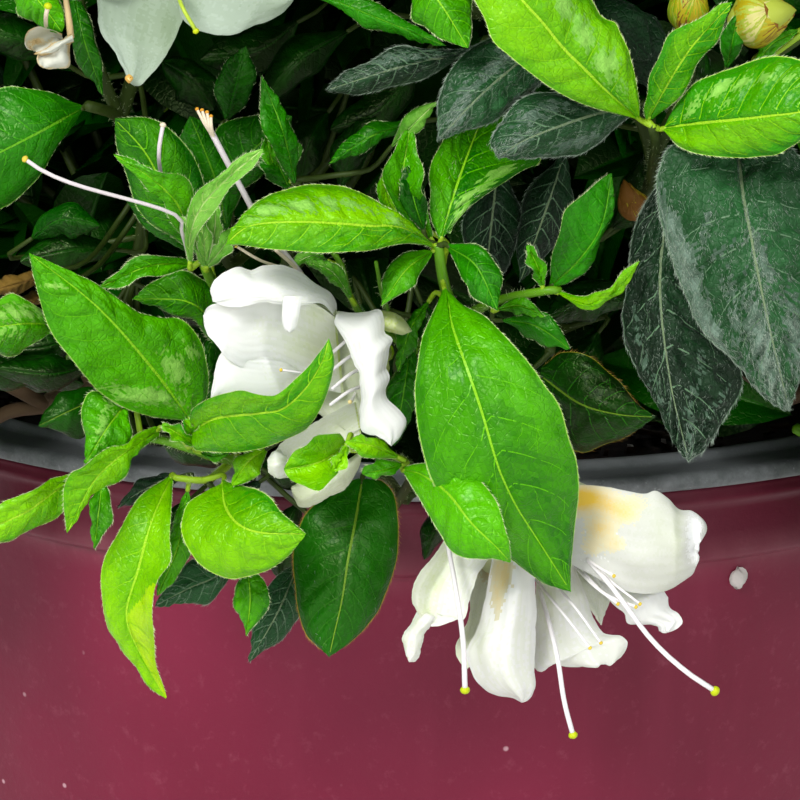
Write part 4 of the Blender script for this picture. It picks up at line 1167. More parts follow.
# the stem, fluted at its foot, up to the fork
s = np.linspace(0, 1, 26)
ang = np.linspace(0, 2 * math.pi, 41)[:-1]
zz = SOIL_Z - 2 + s * (STEM_TOP + 1 - SOIL_Z + 2)
rad = 11.4 + 7.6 * np.exp(-s * 9) - 3.2 * step(s, 0.82, 1.0)
flute = 1 + (0.05 + 0.09 * np.exp(-s * 7))[:, None] * np.sin(5 * ang + 0.4)[None, :] + 0.02 * np.sin(11 * ang[None, :] + 9 * s[:, None])
ring = np.stack(
    [
        (1.6 * s)[:, None] + rad[:, None] * flute * np.cos(ang)[None, :],
        (-1.0 * s)[:, None] + rad[:, None] * flute * np.sin(ang)[None, :],
        np.repeat(zz[:, None], 40, 1) + 0.3 * np.sin(9 * ang)[None, :],
    ],
    -1,
)
bark.grid(np.concatenate([ring, ring[:, :1]], 1), 0)
bark.tube([[1.4, -1, STEM_TOP - 6], [1.2, -0.8, STEM_TOP + 2], [1.0, -0.6, STEM_TOP + 5]], [8.6, 7.2, 3.0], 16, 0)

NODES = []  # every place on the limbs that a twig can leave from: (point, radius)
for m in masses:
    radii = knotty(m["path"], m["r"], m["tip"])
    bark.tube(m["path"], radii, 12, 0)
    m["bough"] = m["path"]

# ---- where shoots end: spread over the outside of each mass ----
trees = {}
for m in masses:
    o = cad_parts["foliage_" + m["tag"]]
    vs = [tuple(v.co * 1000) for v in o.data.vertices]
    trees[m["tag"]] = BVHTree.FromPolygons(vs, [tuple(p.vertices) for p in o.data.polygons])


def inside_other(q, own):
    for m in masses:
        if m is own:
            continue
        d = q - m["centre"]
        k = np.array([d @ m["out"], d @ m["side"], d[2]]) / m["half"]
        if k @ k < 0.8:
            return True
    return False


HERO = lambda x, y: -40 < x < 840 and -60 < y < 720


def LOWEST(x):
    """How low the crown's own leaves may be seen, so that they leave the lip clear."""
    return np.interp(x, [0, 110, 190, 560, 600, 800], [398, 404, 500, 500, 448, 440])


def front_limit(y):
    """How far out the close-up leaves reach, by height in the frame."""
    return np.interp(y, [-60, 100, 300, 500, 720], [150, 146, 138, 136, 130])


tips = []
taken = np.zeros((0, 3))
gold = math.pi * (3 - math.sqrt(5))
for m in masses:
    n = 190
    for k in range(n):
        zc = 1 - 2 * (k + 0.5) / n
        rr = math.sqrt(1 - zc * zc)
        phi = k * gold + rng.random() * 0.3
        d = m["out"] * math.cos(phi) * rr + m["side"] * math.sin(phi) * rr + np.array([0, 0, zc])
        d = unit(d * m["half"].mean() / 80 + (rng.random(3) - 0.5) * 0.08)
        hit = trees[m["tag"]].ray_cast(Vector(m["centre"]), Vector(d))
        if hit[0] is None:
            continue
        p, far = np.array(hit[0]), hit[3]
        outward = inside_other(p + d * 10, m)
        # a shoot stops short of the surface, and its leaves reach on to it
        q = m["centre"] + d * max(far - (28 if not outward else 44), 6)
        if outward and rng.random() < 0.72:
            continue
        r_xy = math.hypot(q[0], q[1])
        if q[2] < POT_H + 4 and r_xy < LIP_R + 8:
            continue
        if len(taken) and np.min(np.linalg.norm(taken - q, axis=1)) < (27 if not outward else 38):
            continue
        x, y, depth = seen(q)
        if q[1] < 0 and HERO(x, y) and -q[1] > front_limit(y) - 18:
            continue
        if q[1] < -60 and -30 < x < 830 and LOWEST(x) - 40 < y < 740:
            continue
        axis = unit(d * 0.8 + unit(q * [1, 1, 0.0]) * 0.25 + [0, 0, 0.45])
        if m["name"] == "skirt" and q[2] < 250:
            axis = unit(d * 0.8 + unit(q * [1, 1, 0.0]) * 0.5 + [0, 0, 0.05])
        taken = np.vstack([taken, q])
        bare = q[1] < -60 and -70 < x < 830 and LOWEST(x) - 40 < y < 740
        tips.append(dict(p=q, axis=axis, mass=m, inner=bool(outward), bare=bare))
print("shoot tips", len(tips))


def arc(a, b, lift, n=7):
    """A twig from a to b with a little bow."""
    mid = (a + b) / 2 + np.array([0, 0, lift]) + (rng.random(3) - 0.5) * np.linalg.norm(b - a) * 0.12
    return smooth_path([a, mid, b], n)


def clear_of_lip(path):
    """Lifts a twig where it would be seen across the lip."""
    x, y, _ = seen(path)
    over = np.where((path[:, 1] < -60) & (x > -60) & (x < 840), np.clip(y - LOWEST(x) + 16, 0, 60), 0) / 5.2
    for _ in range(3):
        over = np.maximum(over, np.convolve(np.pad(over, 1, mode="edge"), [0.3, 0.4, 0.3], "valid"))
    over[0] = 0
    return path + over[:, None] * [0, 0, 1]


def grow(points, root, root_r, level=0):
    """Joins a set of shoot tips to one place on a limb, halving the set at each fork."""
    if len(points) == 1:
        t = points[0]
        a, b = root, t["p"]
        mid = b - t["axis"] * np.linalg.norm(b - a) * 0.45
        path = smooth_path([a, (a + mid) / 2 + (rng.random(3) - 0.5) * 4, mid * 0.8 + (a + b) / 2 * 0.2, b], 9)
        path = clear_of_lip(path)
        r = np.linspace(max(min(root_r, 1.5), 0.95), 0.85, 9)
        (Batch() if t["bare"] else twigs).tube(path, r, 6, T_BROWN if rng.random() < 0.6 else T_OLIVE)
        return
    ps = np.array([t["p"] for t in points])
    mid = ps.mean(0)
    w = np.linalg.svd(ps - mid, full_matrices=False)[2][0]
    order = np.argsort((ps - mid) @ w)
    cut = len(points) // 2
    for group in (order[:cut], order[cut:]):
        sub = [points[i] for i in group]
        c = np.mean([t["p"] for t in sub], 0)
        if len(sub) == 1:
            grow(sub, root, root_r, level + 1)
            continue
        # the fork lies part of the way out, nearer the limb for a larger set
        q = root + (c - root) * (0.42 if len(sub) > 5 else 0.55)
        r = 0.9 + 0.28 * math.sqrt(len(sub))
        path = arc(root, q, 1.5, 7)
        twigs.tube(path, np.linspace(min(root_r, r * 1.15), r, 7), 7, T_BROWN)
        grow(sub, q, r, level + 1)


for m in masses:
    own = [t for t in tips if t["mass"] is m]
    if not own:
        continue
    # each tip hangs from the nearest of five places on the outer half of its bough
    stations = m["bough"][[11, 14, 17, 20, 24]]
    owner = [int(np.argmin([np.linalg.norm(t["p"] - st) + 8 * (4 - i) for i, st in enumerate(stations)])) for t in own]
    for k, st in enumerate(stations):
        group = [t for t, w in zip(own, owner) if w == k]
        if group:
            grow(group, st, 2.2)

# ---------------------------------------------------------------------------------------------
# leaves of the whole crown
# ---------------------------------------------------------------------------------------------
FAR_COLS = np.array([0, 0.07, 0.52, 1.0])


def leaf_template(seed, rows=7):
    """A leaf of unit length: x to its tip, y across, z out of its upper face."""
    g = np.random.default_rng(seed)
    u = np.linspace(0, 1, rows + 1)
    t = np.concatenate([-FAR_COLS[:0:-1], FAR_COLS])
    U, T = np.meshgrid(u, t, indexing="ij")
    half = g.uniform(0.17, 0.225)
    m = g.uniform(0.46, 0.58)
    S = np.clip(U + 0.1 * np.abs(T) * 4 * U * (1 - U), 0, 1)
    w = profile(S, m, 0.95)
    back = g.uniform(0.05, 0.35)
    fold = g.uniform(0.1, 0.45)
    x = np.sin(S * back * 2) / (back * 2) if back > 1e-3 else S
    z = -(1 - np.cos(S * back * 2)) / (back * 2)
    y = T * w * half
    z = z + np.abs(T) * w * half * fold - 0.02 * np.exp(-((T / 0.1) ** 2))
    z = z + 0.018 * np.sin(2 * math.pi * (S * 1.7 + g.random()) + (T > 0) * 2) * np.abs(T) ** 2
    y = y + 0.05 * g.uniform(-1, 1) * S**2
    uc = (U[:-1, :-1] + U[1:, 1:]) / 2
    tc = (T[:-1, :-1] + T[1:, 1:]) / 2
    return np.stack([x, y, z], -1), uc, tc


TEMPLATES = [leaf_template(900 + i) for i in range(18)]
far_leaves = [Batch(), Batch(), Batch()]
KINDS = ["lime", "fresh", "mid", "deep", "old", "yellow"]
dropped = 0


def far_leaf(base, T, N, length, kind, level, bank, calm=False):
    """One leaf of the crown, unless it would stand in front of the close-up leaves."""
    global dropped
    T = unit(T)
    N = unit(N - T * (N @ T))
    B = np.cross(N, T)
    tpl, uc, tc = TEMPLATES[rng.integers(len(TEMPLATES))]
    P = base + length * (tpl[..., :1] * T + tpl[..., 1:2] * B + tpl[..., 2:] * N)
    flat = P.reshape(-1, 3)
    r_xy = np.hypot(flat[:, 0], flat[:, 1])
    # it neither enters the pot nor reaches below the mass it belongs to
    if np.any((flat[:, 2] < POT_H + 2) & (r_xy < LIP_R + 2)) and not np.all((flat[:, 2] > SOIL_Z + 6) & (r_xy < LIP_IN - 6)):
        dropped += 1
        return
    if flat[:, 1].min() < -60:
        x, y, _ = seen(flat)
        inwin = (x > -8) & (x < 808) & (y > -8) & (y < 740)
        if np.any(inwin & ((-flat[:, 1] > front_limit(y) + 10) | (y > LOWEST(x)))):
            dropped += 1
            return
    x, y, _ = seen(base)
    if -40 < x < 840 and -40 < y < 600 and -160 < base[1] < -10 and not calm:
        kind, level = ("deep", level * 0.25) if rng.random() < 0.8 else ("mid", level * 0.2)
    val = (level + 0.5 * np.sin(uc * 5 + rng.random() * 6) + (rng.random(uc.shape) - 0.5) * 0.5) * (LEVELS - 1) / 4
    slots = TONE[kind] + np.clip(np.round(val), 0, LEVELS - 1).astype(int)
    rib = TONE[kind] + (LEVELS if level > 0.7 else min(LEVELS - 1, int(level * 2) + 2))
    slots = np.where((np.abs(tc) < 0.06) & (uc < 0.9), rib, slots)
    bank.grid(P, slots)


def rosette(p, axis, count, spread, sizes, kinds, bank, down=0.0):
    """Leaves set spirally round a shoot's tip, the youngest innermost."""
    a = unit(np.cross(axis, [0.31, 0.17, 0.93]))
    b = np.cross(axis, a)
    phi0 = rng.random() * 6.28
    for i in range(count):
        f = i / max(count - 1, 1)
        phi = phi0 + i * gold + (rng.random() - 0.5) * 0.5
        radial = a * math.cos(phi) + b * math.sin(phi)
        open_ = math.radians(spread[0] + (spread[1] - spread[0]) * f + rng.uniform(-10, 10))
        T = axis * math.cos(open_) + radial * math.sin(open_) + np.array([0, 0, down * f])
        N = axis * math.sin(open_) - radial * math.cos(open_) + (rng.random(3) - 0.5) * 0.5
        base = p - axis * (1 + 13 * f) + radial * 1.0
        length = (sizes[0] + (sizes[1] - sizes[0]) * min(1, f * 1.5)) * rng.uniform(0.82, 1.15)
        kind, level = kinds(f)
        far_leaf(base, T, N, length, kind, level, bank)


def kinds_for(tip):
    warm = rng.random()
    inner = tip["inner"]

    def pick(f):
        if inner:
            return ("deep" if rng.random() < 0.6 else "old"), rng.uniform(0.2, 1.8)
        x = f + rng.normal(0, 0.2)
        if x < 0.42:
            return ("lime" if warm > 0.45 else "fresh"), rng.uniform(1.0, 3.4)
        if x < 0.72:
            return ("fresh" if warm > 0.3 else "mid"), rng.uniform(0.8, 3.0)
        if x < 0.9:
            return "mid", rng.uniform(0.6, 2.8)
        return ("old" if warm < 0.62 else "deep"), rng.uniform(0.6, 2.6)

    return pick


for i, t in enumerate(tips):
    bank = Batch() if t["bare"] else far_leaves[i % 3]
    low = t["mass"]["name"] == "skirt"
    rosette(t["p"], t["axis"], 9 if not t["inner"] else 6, (22, 88), (24, 44), kinds_for(t), bank, down=-0.25 if low else -0.05)
    if t["bare"]:
        continue
    twigs.tube([t["p"] - t["axis"] * 15, t["p"] - t["axis"] * 7, t["p"] + t["axis"] * 1.5], [1.15, 1.1, 0.8], 6, T_GREEN)

# shaded leaves inside the crown, behind the close-up ones
limb_points = np.concatenate([m["bough"][6:] for m in masses])
inner_leaves = Batch()
for gx in range(-60, 880, 68):
    for gy in range(-90, 470, 62):
        p = at(gx + rng.uniform(-22, 22), gy + rng.uniform(-20, 20), rng.uniform(66, 124))
        if p[2] < POT_H + 14 and math.hypot(p[0], p[1]) > LIP_IN - 26:
            continue
        if p[2] < SOIL_Z + 24:
            continue
        near = limb_points[np.argmin(np.linalg.norm(limb_points - p, axis=1))]
        axis = unit(unit(p - near) * 0.8 + [0, -0.5, 0.5])
        path = arc(near, p, 4, 8)
        twigs.tube(path, np.linspace(1.2, 0.8, 8), 6, T_OLIVE)
        rosette(p, axis, 8, (30, 96), (30, 46), lambda f: ("deep" if rng.random() < 0.85 else "mid", rng.uniform(0.0, 0.7)), inner_leaves)
print("dropped leaves", dropped)

# ---------------------------------------------------------------------------------------------
# flowers of the whole crown
# ---------------------------------------------------------------------------------------------
far_flowers = Batch()


def far_flower(base, axis, size, seed):
    """A funnel flower of five wavy lobes, with its stamens and pistil."""
    g = np.random.default_rng(seed)
    a = unit(np.cross(axis, [0.2, 0.5, 0.84]))
    b = np.cross(axis, a)
    turn = g.random() * 6.28
    rows, cols = 8, 7
    u = np.linspace(0, 1, rows)
    t = np.linspace(-1, 1, cols)
    U, T = np.meshgrid(u, t, indexing="ij")
    # the meridian: a narrow tube that flares
    rho = size * (0.07 + 0.16 * step(U, 0, 0.45) + 0.72 * step(U, 0.35, 1.0) * U)
    high = size * (0.78 * step(U, 0.0, 0.75) - 0.12 * step(U, 0.7, 1.0))
    for k in range(5):
        lean = g.uniform(-0.08, 0.12)
        phi = turn + k * 2 * math.pi / 5
        w = np.where(U < 0.42, rho * math.radians(37), size * 0.36 * petal_profile(np.clip((U - 0.2) / 0.8, 0, 1), 0.55, 2.4) * 1.05)
        arcr = np.maximum(rho, size * 0.2)
        al = T * w / arcr
        lat, dip = arcr * np.sin(al), arcr * (1 - np.cos(al))
        wav = size * 0.035 * (np.sin(T * 5 + g.random() * 6) * step(U, 0.6, 1) + np.sin(U * 12 + g.random() * 6) * np.abs(T) ** 3)
        e = a * math.cos(phi) + b * math.sin(phi)
        f = -a * math.sin(phi) + b * math.cos(phi)
        q = (
            base
            + e * (rho - dip * (1 - 0.5 * step(U, 0.5, 1)))[..., None]
            + f * lat[..., None]
            + axis * (high + wav + lean * size * U**2)[..., None]
        )
        uc = (U[:-1, :-1] + U[1:, 1:]) / 2
        val = (3.9 - 3.2 * (1 - step(uc, 0.15, 0.6))) * (WHITES - 1) / 4 + (g.random(uc.shape) - 0.5) * 0.8
        far_flowers.grid(q, np.clip(np.round(val), 0, WHITES - 1).astype(int))
    for k in range(6):
        phi = turn + 1.3 * k
        e = a * math.cos(phi) + b * math.sin(phi)
        long = size * (1.15 if k else 1.5)
        path = smooth_path([base + axis * size * 0.1, base + axis * long * 0.6 + e * size * 0.06, base + axis * long + e * size * (0.22 if k else 0.1) + np.array([0, 0, size * 0.12])], 6)
        far_flowers.tube(path, 0.5, 4, P_STYLE)
        far_flowers.tube([path[-1], path[-1] + axis * 1.6], 0.85 if k else 1.1, 5, P_ANTHER if k else P_STIGMA)
    far_flowers.tube([base - axis * 7, base - axis * 2, base + axis * 1], [0.8, 0.9, size * 0.075], 6, P_BUD)


blooms = 0
order = rng.permutation(len(tips))
for i in order:
    t = tips[i]
    if t["inner"] or blooms >= 62:
        continue
    x, y, depth = seen(t["p"])
    if t["p"][1] < 70 and -120 < x < 920 and -120 < y < 800:
        continue
    if rng.random() > 0.2:
        continue
    for k in range(rng.integers(1, 4)):
        tilt = unit(t["axis"] + (rng.random(3) - 0.5) * 1.1 + unit(t["p"] * [1, 1, 0]) * 0.25)
        far_flower(t["p"] + tilt * 5, tilt, rng.uniform(25, 30), 3000 + blooms)
        blooms += 1
print("flowers", blooms)

# ---------------------------------------------------------------------------------------------
# shoots that carry the close-up leaves and flowers
# ---------------------------------------------------------------------------------------------
SHOOT_LINES = []


def shoot(points, r0, r1, slot, root=None):
    """A shoot through places in the frame, from a place on a bough."""
    pts = [at(*q) if len(q) == 3 and q[2] > 0 else np.array(q) for q in points]
    if root is not None:
        pts = [root] + pts
    path = smooth_path(pts, 6 * len(pts))
    twigs.tube(path, np.linspace(r0, r1, len(path)), 9, slot)
    SHOOT_LINES.append(path)
    for k in range(0, len(path) - 3, 3):
        bristle(path[k : k + 4], np.interp(k, [0, len(path)], [r0, r1]), 26)
    return path


by_tag = {m["tag"]: m for m in masses}
left_bough, right_bough, mid_bough = by_tag["skirt_7"]["bough"], by_tag["skirt_1"]["bough"], by_tag["middle_1"]["bough"]
left_end, right_end, mid_end = left_bough[-1], right_bough[-1], mid_bough[-1]
# low left cluster
shoot([(250, 452, 150), (222, 458, 172), (196, 450, 182), (182, 438, 184)], 1.5, 0.8, T_GREEN, root=left_bough[19])
shoot([(222, 470, 170), (205, 480, 178), (176, 478, 179)], 0.9, 0.6, T_PETIOLE, root=at(236, 456, 162))
shoot([(160, 440, 180), (142, 440, 182), (116, 458, 182)], 0.9, 0.6, T_GREEN, root=at(196, 450, 180))
# below the flower
shoot([(400, 520, 128), (410, 480, 168), (408, 462, 188)], 1.4, 0.8, T_OLIVE, root=right_bough[17])
shoot([(390, 480, 160), (376, 474, 168), (366, 470, 170)], 0.9, 0.7, T_OLIVE, root=at(404, 500, 150))
shoot([(404, 460, 189), (378, 453, 193), (352, 450, 195)], 0.7, 0.5, T_PETIOLE, root=at(410, 474, 176))
# the node in the middle
centre_line = shoot([(470, 380, 120), (462, 330, 160), (445, 288, 186), (438, 246, 192)], 1.8, 0.95, T_GREEN, root=mid_bough[17])
shoot([(462, 318, 170), (500, 300, 184), (545, 291, 190), (560, 290, 190)], 1.0, 0.75, T_GREEN, root=at(452, 330, 166))
shoot([(380, 330, 160), (352, 300, 176), (340, 262, 182), (320, 240, 186)], 1.0, 0.5, T_GREEN, root=at(466, 372, 128))
shoot([(402, 330, 160), (384, 300, 176), (376, 262, 184)], 1.0, 0.35, T_GREEN, root=at(466, 372, 130))
# the young shoot at the left
shoot([(260, 330, 150), (226, 300, 174), (206, 270, 190), (200, 240, 192)], 1.7, 0.9, T_GREEN, root=left_bough[17])
shoot([(300, 260, 150), (298, 210, 172), (296, 180, 182)], 1.6, 1.0, T_OLIVE, root=mid_bough[16])
shoot([(250, 250, 150), (230, 215, 168), (224, 160, 170), (225, 122, 168)], 1.5, 0.9, T_OLIVE, root=mid_bough[16])
shoot([(150, 160, 160), (120, 118, 176), (88, 106, 186)], 1.5, 1.0, T_OLIVE, root=left_bough[20])
shoot([(120, 118, 176), (96, 60, 180), (74, -14, 180), (60, -40, 196)], 1.2, 0.8, T_OLIVE, root=at(130, 130, 170))
shoot([(140, 60, 170), (180, -30, 176), (190, -72, 166)], 1.4, 1.0, T_OLIVE, root=at(120, 118, 176))
# the tuft at the upper right, and the old leaves round it
shoot([(640, 240, 130), (652, 170, 176), (655, 140, 198), (652, 126, 204)], 1.3, 0.8, T_OLIVE, root=right_bough[18])
shoot([(700, 160, 180), (736, 124, 192), (752, 70, 196)], 1.2, 0.9, T_OLIVE, root=at(655, 160, 184))
shoot([(676, 110, 190), (690, 70, 195)], 1.4, 1.1, T_OLIVE, root=at(655, 150, 190))
shoot([(640, 120, 176), (600, 60, 184), (552, 34, 192), (484, 40, 190)], 1.2, 0.8, T_OLIVE, root=at(654, 168, 176))
shoot([(500, 20, 184), (430, -20, 196), (396, -44, 204), (300, -40, 196)], 1.4, 0.9, T_OLIVE, root=at(560, 36, 190))
shoot([(560, 330, 140), (550, 352, 158)], 1.3, 1.0, T_OLIVE, root=right_bough[16])
# flower stalks
for c, to in ((centre_1, at(400, 380, 140)), (centre_2, at(440, 470, 140)), (centre_3, at(500, 440, 140)), (centre_4, at(182, -30, 176))):
    path = smooth_path([to, (to + c) / 2 + [0, 0, 2], c], 8)
    twigs.tube(path, 0.8, 7, T_OLIVE)
    near = min(((np.linalg.norm(l - to, axis=1).min(), l[np.argmin(np.linalg.norm(l - to, axis=1))]) for l in SHOOT_LINES), key=lambda k: k[0])
    twigs.tube(smooth_path([near[1], (near[1] + to) / 2 + [0, 0, 1.5], to], 8), np.linspace(1.3, 1.0, 8), 7, T_OLIVE)

# a stalk for each close-up leaf, from the nearest place on a shoot
lines = np.concatenate(SHOOT_LINES)
for base, run, r, kind in LEAF_BASES:
    if not r:
        continue
    d = np.linalg.norm(lines - base, axis=1) + 0.4 * np.maximum(0, (lines - base) @ run)
    j = int(np.argmin(d))
    q = lines[j]
    gap = np.linalg.norm(q - base)
    pull = base - run * min(gap * 0.45, 7)
    away = AHEAD * min(max(gap - 8, 0) * 0.3, 9)
    path = smooth_path([q, (q + pull) / 2 + away, pull + away * 0.3, base + run * 0.6], 12)
    slot = T_PETIOLE if kind in ("lime", "fresh", "yellow", "pale") and gap < 12 else T_OLIVE
    twigs.tube(path, np.linspace(0.6, 0.42, 12), 7, slot)

# ---------------------------------------------------------------------------------------------
# pot and potting mix
# ---------------------------------------------------------------------------------------------
def wall_at(z):
    return FOOT_R + (NECK_R - FOOT_R) * z / COLLAR_Z


def turned(batch, prof, sides, slots):
    """A turned surface through [radius, height] points."""
    a = np.linspace(0, 2 * math.pi, sides + 1)
    r = np.array([q[0] for q in prof])[:, None]
    z = np.array([q[1] for q in prof])[:, None] + 0 * a
    p = np.stack([r * np.sin(a), -r * np.cos(a), z], -1)
    batch.grid(p[::-1], np.asarray(slots)[::-1, None] if np.ndim(slots) else slots)


pot = Batch()
top = POT_H - LIP_EDGE - 0.35
outer = [(0, 0), (60, 0), (FOOT_R - 4.5, 0), (FOOT_R - 3.2, 0.25), (FOOT_R - 1.4, 1.0), (FOOT_R - 0.4, 2.3), (FOOT_R, 4)]
outer += [(wall_at(z), z) for z in np.linspace(12, COLLAR_Z - 4.5, 26)]
outer += [
    (wall_at(COLLAR_Z) - 0.2, COLLAR_Z - 2.4), (NECK_R + 0.1, COLLAR_Z - 1.2), (NECK_R + 0.5, COLLAR_Z - 0.6),
    (COLLAR_R - 0.9, COLLAR_Z - 0.25), (COLLAR_R - 0.3, COLLAR_Z + 0.3), (COLLAR_R - 0.05, COLLAR_Z + 1.0), (COLLAR_R, COLLAR_Z + 2.2),
    (COLLAR_R + 0.05, COLLAR_Z + 6), (COLLAR_R + 0.1, top - 5.0), (COLLAR_R + 0.15, top - 4.2), (COLLAR_R + 0.5, top - 3.6),
    (COLLAR_R + 0.85, top - 3.0), (COLLAR_R + 0.8, top - 2.3), (COLLAR_R + 0.4, top - 1.8), (COLLAR_R + 0.3, top - 1.0), (COLLAR_R + 0.3, top),
]
inner = [
    (COLLAR_R - 1.5, top), (COLLAR_R - 2.3, COLLAR_Z + 1), (NECK_R - 1.8, COLLAR_Z - 2), (wall_at(120) - 1.8, 120), (wall_at(2.4) - 1.8, 4.0),
    (wall_at(2.4) - 3.4, 2.4), (0, 2.4),
]
turned(pot, outer + inner, 180, np.zeros(len(outer + inner) - 1, int))
lip = Batch()
hl = POT_H
lip_prof = [
    (LIP_R - 1.2, hl - LIP_EDGE + 0.02), (LIP_R - 0.35, hl - LIP_EDGE), (LIP_R - 0.05, hl - LIP_EDGE + 0.3), (LIP_R, hl - LIP_EDGE + 0.9),
    (LIP_R, hl - 1.9), (LIP_R - 0.15, hl - 1.1), (LIP_R - 0.6, hl - 0.5), (LIP_R - 1.3, hl - 0.2), (LIP_R - 2.3, hl - 0.1),
    (LIP_R - 5, hl - 0.25), (LIP_R - 8, hl - 0.35), (LIP_IN + 3.6, hl - 0.3), (LIP_IN + 3.0, hl + 0.1), (LIP_IN + 2.6, hl + 0.7), (LIP_IN + 2.0, hl + 1.15),
    (LIP_IN + 1.2, hl + 1.25), (LIP_IN + 0.5, hl + 0.9), (LIP_IN + 0.1, hl + 0.2), (LIP_IN, hl - 3),
    (LIP_IN - 0.6, hl - 12), (LIP_IN - 1.2, hl - 24), (LIP_IN - 1.6, SKIRT_Z), (LIP_IN - 0.1, SKIRT_Z), (LIP_IN + 1.4, hl - 6), (LIP_IN + 2.4, hl - LIP_EDGE),
    (LIP_R - 1.2, hl - LIP_EDGE + 0.02),
]
turned(lip, lip_prof, 180, 0)


def chain(nt, *pairs):
    for a, b in pairs:
        nt.links.new(a, b)


def mix(nt, fac, a, b):
    """Mixes two colours. fac is a socket or a number, and a and b are sockets or colours."""
    m = node(nt, "ShaderNodeMix", data_type="RGBA")
    for key, val in (("Factor", fac), ("A", a), ("B", b)):
        sock = [s for s in m.inputs if s.name == key and s.enabled][0] if key == "Factor" else [s for s in m.inputs if s.name == key and s.type == "RGBA"][0]
        if isinstance(val, bpy.types.NodeSocket):
            nt.links.new(val, sock)
        elif key == "Factor":
            sock.default_value = val
        else:
            sock.default_value = (*val, 1)
    return [s for s in m.outputs if s.type == "RGBA"][0]


def ramp(nt, sock, stops):
    r = node(nt, "ShaderNodeValToRGB")
    while len(r.color_ramp.elements) < len(stops):
        r.color_ramp.elements.new(0.5)
    for e, (pos, val) in zip(r.color_ramp.elements, stops):
        e.position = pos
        e.color = (val, val, val, 1) if np.ndim(val) == 0 else (*val, 1)
    nt.links.new(sock, r.inputs["Fac"])
    return r.outputs["Color"]


def pot_material():
    """Satin maroon plastic: broad cloudiness, faint upright streaks, dust, dried droplets and a few scuffs."""
    m, nt, b = shader("pot_maroon")
    pos = node(nt, "ShaderNodeTexCoord").outputs["Object"]

    def noise(scale, stretch=(1, 1, 1), detail=4.0, rough=0.6):
        mp = node(nt, "ShaderNodeMapping")
        mp.inputs["Scale"].default_value = stretch
        t = node(nt, "ShaderNodeTexNoise", Scale=scale, Detail=detail, Roughness=rough)
        nt.links.new(pos, mp.inputs["Vector"])
        nt.links.new(mp.outputs["Vector"], t.inputs["Vector"])
        return t.outputs["Fac"]

    def spots(scale, size, soft):
        v = node(nt, "ShaderNodeTexVoronoi", Scale=scale, Randomness=1.0)
        nt.links.new(pos, v.inputs["Vector"])
        return ramp(nt, v.outputs["Distance"], [(size, 1.0), (size + soft, 0.0)]), v

    cloud = ramp(nt, noise(9, detail=3), [(0.3, 0.0), (0.7, 1.0)])
    c = mix(nt, cloud, linear((102, 14, 42)), linear((126, 24, 58)))
    streak = ramp(nt, noise(40, (1, 1, 0.06), 5), [(0.5, 0.0), (0.8, 0.55)])
    c = mix(nt, streak, c, linear((138, 42, 70)))
    dust = ramp(nt, noise(260, detail=6, rough=0.75), [(0.56, 0.0), (0.78, 0.5)])
    c = mix(nt, dust, c, linear((150, 74, 92)))
    dots, _ = spots(150, 0.05, 0.05)
    keep = ramp(nt, noise(30), [(0.55, 0.0), (0.6, 1.0)])
    mul = node(nt, "ShaderNodeMath", operation="MULTIPLY")
    chain(nt, (dots, mul.inputs[0]), (keep, mul.inputs[1]))
    c = mix(nt, mul.outputs[0], c, linear((196, 150, 160)))
    part = node(nt, "ShaderNodeSeparateXYZ")
    nt.links.new(pos, part.inputs["Vector"])
    z = part.outputs["Z"]
    c = mix(nt, ramp(nt, z, [(0.2185, 0.0), (0.2235, 0.72)]), c, linear((80, 20, 36)))
    wear = ramp(nt, noise(46, (1, 1, 0.3), 5), [(0.34, 0.1), (0.66, 1.0)])
    for band in ([(0.2168, 0.0), (0.2196, 0.3), (0.2224, 0.34), (0.2238, 0.0)], [(0.2312, 0.0), (0.2322, 0.28), (0.2338, 0.28), (0.2348, 0.0)]):
        both = node(nt, "ShaderNodeMath", operation="MULTIPLY")
        chain(nt, (ramp(nt, z, band), both.inputs[0]), (wear, both.inputs[1]))
        c = mix(nt, both.outputs[0], c, linear((160, 104, 112)))
    nt.links.new(c, b.inputs["Base Color"])
    rough = ramp(nt, noise(60, detail=5), [(0.3, 0.36), (0.7, 0.5)])
    nt.links.new(rough, b.inputs["Roughness"])
    bmp = node(nt, "ShaderNodeBump", Strength=0.16, Distance=0.0006)
    nt.links.new(noise(520, detail=4, rough=0.7), bmp.inputs["Height"])
    nt.links.new(bmp.outputs["Normal"], b.inputs["Normal"])
    b.inputs["Specular IOR Level"].default_value = 0.32
    return m


